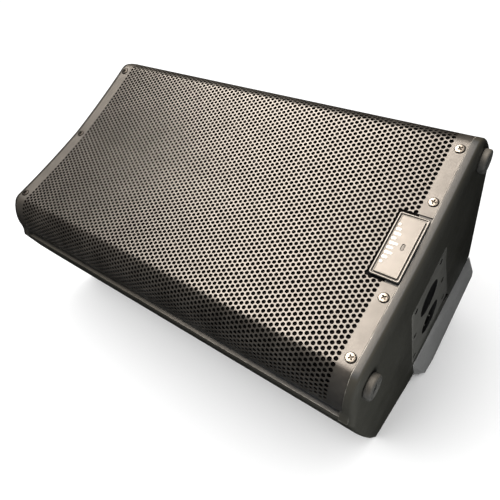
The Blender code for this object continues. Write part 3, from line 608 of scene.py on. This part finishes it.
def thick_sheet(points, faces, thickness, back):
    """Wrap the flat pattern on the section and give it thickness."""
    s, l = points[:, 0], points[:, 1]
    layers = []
    for depth in (back, back + thickness):
        w, z = on_front(s, depth)
        layers.append(np.stack([w, l, z], 1))
    n = len(points)
    verts = np.concatenate(layers)
    directed = {}
    turned_faces = []
    for row in faces:
        area = 0.0
        for i, a in enumerate(row):
            b = row[(i + 1) % len(row)]
            area += points[a][0] * points[b][1] - points[b][0] * points[a][1]
        if area < 0:
            row = row[::-1]
        turned_faces.append(row)
        for i, a in enumerate(row):
            directed[(a, row[(i + 1) % len(row)])] = True
    out = [list(reversed(row)) for row in turned_faces]
    out += [[i + n for i in row] for row in turned_faces]
    for a, b in directed:
        if (b, a) not in directed:
            out.append([a, b, b + n, a + n])
    mesh = bpy.data.meshes.new("sheet")
    mesh.from_pydata(verts.tolist(), [], out)
    mesh.validate()
    mesh.update()
    return mesh


points, faces = sheet_faces()
piece("grille_sheet", thick_sheet(points, faces, GRILLE_T - 0.1, SHEET_BACK), STEEL,
      ("grille",), smooth=40)


FOAM_START, FOAM_LENGTH = -244.0, 474.0
FOAM_FRONT, FOAM_MID, FOAM_BACK = 2.0, 3.5, 5.0


def foam_sheet():
    """Thin foam lining behind the holes, soft and slightly lumpy."""
    s_max = HALF_ARC - 1.5
    cols, rows = 110, 150
    bm = bmesh.new()
    grid = []
    for layer, depth in enumerate((FOAM_FRONT, FOAM_BACK)):
        sheet = []
        for j in range(rows + 1):
            l = FOAM_START + FOAM_LENGTH * j / rows
            row = []
            for i in range(cols + 1):
                s = -s_max + 2 * s_max * i / cols
                edge = min(i, cols - i, j, rows - j)
                lump = 0.35 * noise.noise(Vector((s * 0.09, l * 0.09, 3.0 * layer)))
                d = depth + (lump if layer == 0 else -lump)
                if edge == 0:
                    d = FOAM_MID + (d - FOAM_MID) * 0.55
                w, z = on_front(np.array([s]), d)
                row.append(bm.verts.new((float(w[0]), l, float(z[0]))))
            sheet.append(row)
        grid.append(sheet)
    for sheet in grid:
        for a, b in zip(sheet, sheet[1:]):
            for i in range(cols):
                bm.faces.new((a[i], a[i + 1], b[i + 1], b[i]))
    top, bottom = grid
    ring = ([(0, i) for i in range(cols)] + [(j, cols) for j in range(rows)]
            + [(rows, i) for i in range(cols, 0, -1)] + [(j, 0) for j in range(rows, 0, -1)])
    for (j0, i0), (j1, i1) in zip(ring, ring[1:] + ring[:1]):
        bm.faces.new((top[j0][i0], top[j1][i1], bottom[j1][i1], bottom[j0][i0]))
    return solid(bm)


foam = piece("foam_lining", foam_sheet(), FOAM, ("grille_foam",), smooth=60)

# ------------------------------------------------------------- shared outlines
def inset(points, distance):
    """Closed outline moved inward, corner by corner."""
    out = []
    n = len(points)
    for i in range(n):
        a, b, c = Vector(points[i - 1]), Vector(points[i]), Vector(points[(i + 1) % n])
        d0, d1 = (b - a).normalized(), (c - b).normalized()
        n0, n1 = Vector((-d0.y, d0.x)), Vector((-d1.y, d1.x))
        mitre = n0 + n1
        out.append(tuple(b + mitre * (distance / max(mitre.dot(n0), 0.3))))
    return out


def fillet(a, b, c, radius, n=8):
    """Points of a round corner at b, between the lines to a and to c."""
    a, b, c = Vector(a), Vector(b), Vector(c)
    u, v = (a - b).normalized(), (c - b).normalized()
    half = u.angle(v) / 2
    reach = radius / math.tan(half)
    centre = b + (u + v).normalized() * radius / math.sin(half)
    start, end = b + u * reach - centre, b + v * reach - centre
    first = math.atan2(start.y, start.x)
    sweep = math.copysign(start.angle(end), start.x * end.y - start.y * end.x)
    angles = [first + sweep * i / n for i in range(n + 1)]
    return [(centre.x + radius * math.cos(t), centre.y + radius * math.sin(t)) for t in angles]


def soften(points, radius):
    """Every corner of a closed outline rounded."""
    out = []
    for i, p in enumerate(points):
        a, b, c = Vector(points[i - 1]), Vector(p), Vector(points[(i + 1) % len(points)])
        out += fillet(a, b, c, radius, 5) if (b - a).angle(c - b) > 0.2 else [tuple(b)]
    return out


def front_z(w):
    """Depth of the grille's dished face at a width."""
    p = abs(w) / PITCH
    return -PITCH * (DISH_SLOPE * p + DISH_CURVE * p * p)


def front_tilt(w):
    """Angle of the dished face at a width."""
    return math.copysign(math.atan(DISH_SLOPE + 2 * DISH_CURVE * abs(w) / PITCH), w) if w else 0.0


def stack(outline, steps):
    """Solid through copies of an outline in (w, l): (inset, z) steps."""
    return loft([[(w, l, z) for w, l in (inset(outline, side) if side else outline)]
                 for side, z in steps])


def stack_l(outline, steps):
    """Solid through copies of an outline in (w, z): (inset, l) steps."""
    return loft([[(w, l, z) for w, z in (inset(outline, side) if side else outline)]
                 for side, l in steps])


# --------------------------------------------------------------------- cabinet
SIDE = [(float(w), float(z)) for w, z in CURVE[::3, 1:3]]
if SIDE[-1] != (float(CURVE[-1, 1]), float(CURVE[-1, 2])):
    SIDE.append((float(CURVE[-1, 1]), float(CURVE[-1, 2])))
FRONT = [(-w, z) for w, z in reversed(SIDE)] + SIDE[1:]
BULGE = ((-161.3, 70.0), (-160.2, 100.0), (-158.0, 130.0), (-154.6, 165.0))
WALL = 5.0
FOOT = (124.0, 15.0)
SOCKETS = ((1.0, 100.0, 0.0), (2.5, 162.0, math.radians(-7.5)))
PAD = ((-40, 56), (44, 56), (45, 93), (58, 205), (-48.5, 205))
PAD_T = 2.5
PAD_SEAT = END_BOTTOM - 1.4
PAD_SCREWS = ((30.0, 66.0), (36.5, 125.0), (42.0, 187.0))
POLE_R, POLE_DEPTH, MOUTH_R = 18.0, 64.0, 21.3
TRAY_W, TRAY_L = (-11.0, 101.0), (-176.0, 116.0)
HANDLE_Z, HANDLE_HALF = (95.0, 175.0), 62.0
PAD_RELIEF = ((53, 192), (66, 232), (66, 234), (40, 206))
LEDGE_HALF, LEDGE_T = 122.0, 5.0
LEDGE_R0, LEDGE_R1 = 230.5, 250
LEDGE_L0, LEDGE_L1 = -261.5, -244.5


def cabinet_outline(sharp=False):
    """Cross-section (w, z) of the cabinet, with its corners rounded or sharp."""
    shoulder_up, shoulder_low = (HALF_WIDTH, LIP_Z + 5), (-HALF_WIDTH, LIP_Z + 5)
    tip, notch = (TIP_W, TIP_Z), (NOTCH_W, REAR_Z)
    out = list(FRONT)
    if sharp:
        return out + [shoulder_up, UPPER_CORNER, REAR_CORNER, notch, tip,
                      *reversed(BULGE), shoulder_low]
    out += fillet(SIDE[-1], shoulder_up, UPPER_CORNER, 6, 4)
    out += fillet(shoulder_up, UPPER_CORNER, REAR_CORNER, 5)
    out += fillet(UPPER_CORNER, REAR_CORNER, notch, 5)
    out.append(notch)
    out += fillet(notch, tip, BULGE[-1], 2.5)
    out += reversed(BULGE)
    out += fillet(BULGE[0], shoulder_low, (-SIDE[-1][0], SIDE[-1][1]), 6, 4)
    return out


def offset_line(points, distance):
    """Open line moved sideways by a distance."""
    out = []
    for i, (w, z) in enumerate(points):
        w0, z0 = points[max(i - 1, 0)]
        w1, z1 = points[min(i + 1, len(points) - 1)]
        length = math.hypot(w1 - w0, z1 - z0)
        out.append((w - (z1 - z0) / length * distance, z + (w1 - w0) / length * distance))
    return out


def rod_l(w, z, r, l0, l1, n=48, r1=None):
    far = r if r1 is None else r1
    return loft([[(u, l0, v) for u, v in circle(w, z, r, n)],
                 [(u, l1, v) for u, v in circle(w, z, far, n)]])


def rod_z(w, l, r, z0, z1, n=40):
    return slab(circle(w, l, r, n), z0, z1)


def about(point, angle, axis):
    """Turn about an axis through a point."""
    shift = Matrix.Translation(Vector(point))
    return shift @ Matrix.Rotation(angle, 4, axis) @ shift.inverted()


def rim_ring(outline, distance):
    """The outline moved inward: in full at the front, and less towards the rear edges."""
    out = []
    for (w, z), (u, v) in zip(outline, inset(outline, distance)):
        part = float(np.interp(z, *RIM_SHARE))
        out.append((w + (u - w) * part, z + (v - z) * part))
    return out


def shell_hole(w, z, r, n=16):
    """Tool for a round hole in the bottom end's wall."""
    return rod_l(w, z, r, END_BOTTOM - 14, END_BOTTOM + 5, n)


def cabinet_body():
    outline = cabinet_outline()
    turns = [math.pi / 16 * k for k in range(9)]
    rings = [(END_TOP, 1, RIM_TOP, a) for a in turns]
    rings += [(END_BOTTOM, -1, RIM, a) for a in reversed(turns)]
    body = loft([[(w, end + way * r[1] * (1 - math.cos(a)), z)
                  for w, z in rim_ring(outline, r[0] * (1 - math.sin(a)))]
                 for end, way, r, a in rings])
    body = cut(body, prism(inset(cabinet_outline(True), WALL), END_TOP + 6, END_BOTTOM - 8))
    body = cut(body, box(-200, 200, GRILLE_END_L - GAP, GRILLE_END_R + GAP, -60, LIP_Z))
    # ledges under the sheet's two end strips, and plugs at their sides
    behind = offset_line([p for p in FRONT if abs(p[0]) < LEDGE_HALF], GRILLE_T + GAP)
    ledge = behind + list(reversed(offset_line(behind, LEDGE_T)))
    body = add(body, prism(ledge, LEDGE_R0, LEDGE_R1), prism(ledge, LEDGE_L0, LEDGE_L1))
    w, z = SIDE[-1]
    for side in (-1, 1):
        plug = [(side * u, v) for u, v in
                ((w, z + 0.6), (HALF_WIDTH, LIP_Z + 1), (w - 6, LIP_Z + 1), (w - 6, z + 0.6))]
        body = add(body, prism(plug, 241, LEDGE_R1), prism(plug, LEDGE_L0, -250))
    # openings: amplifier tray, pole sockets, screws and handle
    body = cut(body, box(TRAY_W[0] - 1, TRAY_W[1] + 1, TRAY_L[0] - 1, TRAY_L[1] + 1, 240, 275))
    body = cut(body, prism(soften(PAD, 3.0), END_BOTTOM - PAD_T, END_BOTTOM + 5))
    for w, z, tilt in SOCKETS:
        hole = shell_hole(w, z, POLE_R + 5.5, 48)
        body = cut(body, moved(hole, about((w, END_BOTTOM, z), tilt, "X")))
    body = cut(body, prism(PAD_RELIEF, END_BOTTOM - 4, END_BOTTOM + 5))
    for w, z in PAD_SCREWS:
        body = cut(body, *[shell_hole(side * w, z, 2.3) for side in (-1, 1)])
    body = cut(body, *[shell_hole(side * FOOT[0], FOOT[1], 2.6) for side in (-1, 1)])
    for w, l in GRILLE_SCREWS:
        body = cut(body, rod_z(w, l, 2.6, -15, 8, 16))
    body = cut(body, box(-HANDLE_HALF, HANDLE_HALF, END_TOP - 5, END_TOP + 12, *HANDLE_Z))
    piece("cabinet_body", body, PLASTIC, ("cabinet_shell",), smooth=35)


cabinet_body()


# ------------------------------------------------------------------- fasteners
def cross_screw(r, h, shank_r, shank, arm=0.56, width=1.1, depth=1.1, edge=0.35):
    """Domed screw with a cross recess; height 0 is the seat of the head."""
    dome = [(r * math.cos(a), h * (edge + (1 - edge) * math.sin(a)))
            for a in (math.pi / 16 * k for k in range(9))]
    head = lathe([(0.0, -shank), (shank_r, -shank), (shank_r, 0.0), (r - 0.25, 0.0), (r, 0.2),
                  *dome[:-1], (0.0, h)], 40)
    low, high = (h - depth, r * arm * 0.45, 0.05), (h + 0.6, r * arm * 1.1, width * 0.6)
    tools = []
    for turn in (0, math.pi / 2):
        rows = [[(x * length, y * half, height) for x, y in ((-1, -1), (1, -1), (1, 1), (-1, 1))]
                for height, length, half in (low, high)]
        tools.append(moved(loft(rows), Matrix.Rotation(turn, 4, "Z")))
    return cut(head, add(tools[0], tools[1]))


PAN = cross_screw(4.7, 1.7, 1.5, 6.0, arm=0.62, width=2.0, depth=1.6, edge=0.68)
SMALL = cross_screw(3.2, 1.2, 1.5, 8.0, width=0.9, depth=0.8)
FOOT_SCREW = cross_screw(3.6, 1.6, 1.5, 10.0, width=1.0, depth=1.0)
rng = random.Random(11)
for i, (w, l) in enumerate(GRILLE_SCREWS):
    place = facing_front(w, l, front_z(w) + 0.55, front_tilt(w), rng.uniform(0, 1.5))
    # lighter screws at the lit bottom end, darker ones at the top end: painted light
    piece(f"grille_screw_head_{i + 1}", moved(PAN.copy(), place),
          SCREW_LIT if l > 0 else SCREW_SHADED, (f"grille_screw_{i + 1}",), smooth=30)
SOCKET_SCREWS = [(side * w, z) for w, z in PAD_SCREWS for side in (-1, 1)]
for i, (w, z) in enumerate(SOCKET_SCREWS):
    place = facing_l(w, PAD_SEAT + GAP, z, rng.uniform(0, 1.5))
    piece(f"socket_screw_head_{i + 1}", moved(SMALL.copy(), place), ZINC,
          (f"socket_screw_{i + 1}",), smooth=30)
    # near-black cup lining each screw recess: painted shade
    shade_cup = lathe([(3.45, 0.15), (3.75, 0.15), (3.75, 1.25), (3.6, 1.4), (3.45, 1.25)], 32)
    piece(f"socket_screw_shade_cup_{i + 1}", moved(shade_cup, place), BORE_SHADE, smooth=30)


# --------------------------------------------------------------- feet and pad
def foot(side, label):
    w, z = side * FOOT[0], FOOT[1]
    base = END_BOTTOM + GAP
    profile = [(2.4, 0.0), (11.9, 0.0), (12.35, 0.6), (12.5, 1.4)]
    profile += [(12.5 - 2.2 * (1 - math.cos(a)), 4.6 + 2.4 * math.sin(a))
                for a in (math.pi / 14 * k for k in range(8))]
    profile += [(9.6, 7.0), (9.1, 6.75), (8.6, 6.6), (5.6, 6.6), (5.0, 6.4), (4.5, 5.8),
                (4.3, 2.5), (2.4, 2.5)]
    mesh = moved(lathe(profile, 72), facing_l(w, base, z))
    piece(f"foot_pad_{label}", mesh, RUBBER, (f"stand_foot_{label}",), smooth=35)
    place = facing_l(w, base + 2.5 + GAP, z, 0.4 * side)
    piece(f"foot_screw_head_{label}", moved(FOOT_SCREW.copy(), place), ZINC,
          (f"foot_screw_{label}",), smooth=30)


foot(-1, "lower")
foot(1, "upper")


def socket_pad():
    outline = soften(inset(PAD, GAP), 2.8)
    low, top = END_BOTTOM - PAD_T + GAP, END_BOTTOM + GAP
    body = stack_l(outline, ((0, low), (0, top - 0.5), (0.15, top - 0.15), (0.5, top)))
    for k, (w, z, tilt) in enumerate(SOCKETS):
        turn = about((w, END_BOTTOM, z), tilt, "X")
        bore = rod_l(w, z, POLE_R, END_BOTTOM - POLE_DEPTH, END_BOTTOM + 6, 72)
        mouth = rod_l(w, z, POLE_R - 2, END_BOTTOM - 3.5, END_BOTTOM + 0.4, 72, MOUTH_R)
        body = cut(body, rod_l(w, z, MOUTH_R + 0.9, low - 5, top + 5, 72))
        # the bore's wall, near black as painted shade
        tube = rod_l(w, z, POLE_R + 3.6, END_BOTTOM - POLE_DEPTH - 3, END_BOTTOM + 6, 72)
        tube = cut(moved(tube, turn), moved(bore, turn), mouth,
                   box(-80, 80, top - 0.1, END_BOTTOM + 30, 30, 240))
        piece(f"socket_bore_shade_{k + 1}", tube, BORE_SHADE, smooth=35)
    for w, z in SOCKET_SCREWS:
        body = cut(body, shell_hole(w, z, 1.9),
                   rod_l(w, z, 3.8, PAD_SEAT, END_BOTTOM + 5, 32))
    piece("socket_pad", body, PAD_GREY, ("pole_socket_block",), smooth=35)


def socket_grips(k, w, z, tilt):
    """Clamping ribs and two sprung balls in one bore."""
    turn = about((w, END_BOTTOM, z), tilt, "X")
    ribs = []
    for i in range(8):
        a = 2 * math.pi * (i + 0.5) / 8
        rib = prism(rounded(0, 0, 0.9, 0.55, 0.4, 3), -POLE_DEPTH + 1, -5.0)
        rib.transform(Matrix.Translation((w, END_BOTTOM, z)) @ Matrix.Rotation(-a, 4, "Y")
                      @ Matrix.Translation((POLE_R - 0.2, 0, 0)))
        ribs.append(rib)
    mesh = ribs[0]
    for rib in ribs[1:]:
        mesh = add(mesh, rib)
    piece(f"socket_ribs_{k + 1}", moved(mesh, turn), PAD_GREY, smooth=35)
    dome = [(2.2 * math.cos(a), 0.5 + 1.7 * math.sin(a))
            for a in (math.pi / 14 * i for i in range(7))]
    ball = lathe([(0.0, 0.0), (2.6, 0.0), (2.6, 0.4), *dome, (0.0, 2.2)], 24)
    balls = []
    for a in (-2.0, -2.6):
        seat = (w + POLE_R * math.cos(a), END_BOTTOM - 9.0, z - POLE_R * math.sin(a))
        spot = (Matrix.Translation(seat) @ Matrix.Rotation(a, 4, "Y")
                @ Matrix.Rotation(-math.pi / 2, 4, "Y"))
        balls.append(moved(ball.copy(), turn @ spot))
    piece(f"socket_springs_{k + 1}", add(balls[0], balls[1]), ZINC, smooth=40)


socket_pad()
for k, socket in enumerate(SOCKETS):
    socket_grips(k, *socket)


# ----------------------------------------------------------------------- badge
def badge():
    w, l = BADGE_W, BADGE_L
    body = stack(rounded(w, l, 34.8, 14.65, 2.4),
                 ((0, -1.8), (0, -2.9), (0.2, -3.3), (0.6, -3.5), (1.5, -3.5),
                  (1.8, -3.3), (2.0, -2.9), (2.0, -2.6), (2.2, -2.5)))
    body = add(body, slab(rounded(w, l + 3, 31.5, 9.5, 2.2), -2.4, 0.0))
    window = rounded(*LIGHT, 3.7, 1.75, 1.74)
    piece("badge_rim", cut(body, slab(window, -8, -2.0)), BEZEL,
          ("badge_bezel",), smooth=40)
    face = stack(rounded(w, l, 31.8, 11.7, 1.4),
                 ((0, -2.7), (0, -3.4), (0.15, -3.65), (0.45, -3.78),
                  (1.0, -3.8), (1.15, -3.7), (1.3, -3.7)))
    piece("badge_face", cut(face, slab(window, -8, -2)), PLATE,
          ("badge_plate",), smooth=40)
    lens = stack(rounded(*LIGHT, 3.5, 1.55, 1.54),
                 ((0, -2.2), (0, -2.9), (0.2, -3.1), (0.5, -3.15)))
    piece("badge_window", lens, WINDOW, ("badge_light_window",), smooth=40)
    bars = None
    for i, length in enumerate(LEVEL_BARS):
        bar = stack(rounded(-22.0 + 5.2 * i, 218.0 + length / 2, 1.35, length / 2, 1.0, 4),
                    ((0, -3.6), (0, -3.95), (0.15, -4.05)))
        bars = bar if bars is None else add(bars, bar)
    piece("badge_level_mark", bars, SILVER, smooth=40)


badge()


# ---------------------------------------------------------------- rear housing
PANEL_Z = REAR_Z + GAP
HOUSING_Z, HOUSING_TOP_L, STAND_L = 292.0, -236.0, 266.5
BAR_W, HOOK_W, LIP_BACK = (-45.0, 131.0), (-38, 127), 287.0
OPENING_W, OPENING_L = (-20.0, 110.0), (-185.0, 125.0)
HOUSING_SCREWS = ((112.0, 279.0), (46.0, 279.0), (-8.0, 277.0))


def hull(points, bevel=0.0):
    """Convex solid through the points, with its sharp edges bevelled."""
    bm = bmesh.new()
    for p in points:
        bm.verts.new(p)
    bmesh.ops.convex_hull(bm, input=bm.verts)
    bmesh.ops.delete(bm, geom=[v for v in bm.verts if not v.link_faces], context="VERTS")
    bmesh.ops.dissolve_limit(bm, angle_limit=math.radians(1.0), verts=bm.verts, edges=bm.edges)
    if bevel:
        edges = [e for e in bm.edges
                 if len(e.link_faces) == 2 and e.calc_face_angle() > math.radians(12)]
        bmesh.ops.bevel(bm, geom=edges, offset=bevel, segments=3, profile=0.5, affect="EDGES",
                        clamp_overlap=True)
    return solid(bm)


def rear_housing():
    (w0, w1), (h0, h1) = BAR_W, HOOK_W
    near, back = END_BOTTOM + GAP, HOUSING_Z - 1
    top = HOUSING_TOP_L
    bar = hull([(w, l, z) for w in (w0, w1) for l in (top, 262.0) for z in (PANEL_Z, LIP_BACK)]
               + [(w, l, HOUSING_Z) for w in (w0 + 4, w1 - 4) for l in (top + 4, 258.0)], 0.8)
    hook = hull([(139, near, 251), (-48, near, 214), (-48, near, 262), (w1, near, 262),
                 (w1, near, LIP_BACK), (-48, near, LIP_BACK),
                 (h1, STAND_L, 270), (h0, STAND_L, 266), (h1, STAND_L, 285), (h0, STAND_L, 285),
                 (h1, STAND_L - 4, back), (h0, STAND_L - 4, back)], 0.8)
    body = add(bar, hook)
    body = cut(body, box(OPENING_W[0] - GAP, OPENING_W[1] + GAP,
                         OPENING_L[0] - GAP, OPENING_L[1] + GAP, 240, 310))
    # the lower side ends short of the cabinet's resting facet
    lift, slope = 3.5 / math.cos(REST), math.tan(REST)
    low = [(-90, REAR_Z - lift + (-90 - NOTCH_W) * slope),
           (30, REAR_Z - lift + (30 - NOTCH_W) * slope), (30, 400), (-90, 400)]
    body = cut(body, prism(low, -300, 300))
    for w, z in HOUSING_SCREWS:
        body = cut(body, rod_l(w, z, 3.6, STAND_L - 3, STAND_L + 5, 32),
                   rod_l(w, z, 1.9, STAND_L - 22, STAND_L, 16))
    piece("rear_bar", body, GREY, ("rear_housing",), smooth=30)
    small = cross_screw(2.9, 1.5, 1.5, 12.0, width=0.9, depth=0.9)
    for i, (w, z) in enumerate(HOUSING_SCREWS):
        place = facing_l(w, STAND_L - 3 + GAP, z, 0.3 + i)
        piece(f"housing_screw_head_{i + 1}", moved(small.copy(), place), ZINC,
              (f"housing_screw_{i + 1}",), smooth=30)


rear_housing()

# ------------------------------------------------------------------ the stage
floor_mesh = bpy.data.meshes.new("floor")
floor_mesh.from_pydata([(-9, -9, 0), (9, -9, 0), (9, 9, 0), (-9, 9, 0)], [], [(0, 1, 2, 3)])
floor = bpy.data.objects.new("floor", floor_mesh)
bpy.context.scene.collection.objects.link(floor)
FLOOR_MAT = bpy.data.materials.new("studio_floor")
FLOOR_MAT.use_nodes = True
FLOOR_INPUTS = FLOOR_MAT.node_tree.nodes["Principled BSDF"].inputs
FLOOR_INPUTS["Base Color"].default_value = (0.97, 0.97, 0.97, 1)
FLOOR_INPUTS["Roughness"].default_value = 0.9
FLOOR_INPUTS["Specular IOR Level"].default_value = 0.0
floor_mesh.materials.append(FLOOR_MAT)

world = bpy.context.scene.world or bpy.data.worlds.new("studio")
bpy.context.scene.world = world
world.use_nodes = True
world.node_tree.nodes["Background"].inputs["Color"].default_value = (1, 1, 1, 1)
world.node_tree.nodes["Background"].inputs["Strength"].default_value = 1.05
world.cycles_visibility.glossy = False
floor.visible_glossy = False


def area_light(name, place, aim, size, power, colour=(1, 1, 1)):
    data = bpy.data.lights.new(name, "AREA")
    data.shape = "RECTANGLE"
    data.size, data.size_y = size
    data.energy = power
    data.color = colour
    obj = bpy.data.objects.new(name, data)
    obj.location = place
    obj.rotation_euler = (Vector(aim) - Vector(place)).to_track_quat("-Z", "Y").to_euler()
    bpy.context.scene.collection.objects.link(obj)
    return obj


FRONT_MID = Vector((0.02, -0.05, 0.22))
MIRROR = Vector((-0.39, -0.13, 0.911))
KEY_DISTANCE = 2.2
key = area_light("key_softbox", FRONT_MID + MIRROR * KEY_DISTANCE, FRONT_MID, (1.9, 1.5), 265.0,
                 (1.0, 0.87, 0.74))
# the key is a lamp for the object; the floor takes only the soft studio light
floor_group = bpy.data.collections.new("floor_group")
floor_group.objects.link(floor)
floor_group.collection_objects[0].light_linking.link_state = "EXCLUDE"
key.light_linking.receiver_collection = floor_group

left = area_light("left_softbox", (-1.85, -0.3, 1.55), (-0.2, -0.02, 0.22), (1.2, 1.2), 4.0,
                  (1.0, 0.97, 0.92))
left.light_linking.receiver_collection = floor_group
side = area_light("side_softbox", (0.50, -0.26, 0.03), (0.2655, -0.15, 0.03), (0.2, 0.2), 3.0)
side.visible_camera = False
side.visible_glossy = False
side.light_linking.receiver_collection = floor_group
lift = area_light("floor_softbox", (-1.1, -2.6, 2.3), (0, 0, 0), (2.4, 2.4), 92.0)
lift_group = bpy.data.collections.new("lift_group")
lift_group.objects.link(floor)
lift.light_linking.receiver_collection = lift_group

camera_data = bpy.data.cameras.new("view")
camera_data.lens = 33.08
camera_data.sensor_width = 36.0
camera_data.clip_start = 0.02
camera = bpy.data.objects.new("view", camera_data)
camera.matrix_world = Matrix(((0.79552, -0.34463, 0.49837, 0.32894),
                              (0.60575, 0.43275, -0.66767, -0.44178),
                              (0.01443, 0.83304, 0.55302, 0.47597), (0, 0, 0, 1)))
bpy.context.scene.collection.objects.link(camera)
bpy.context.scene.camera = camera
bpy.context.scene.view_settings.view_transform = "Standard"
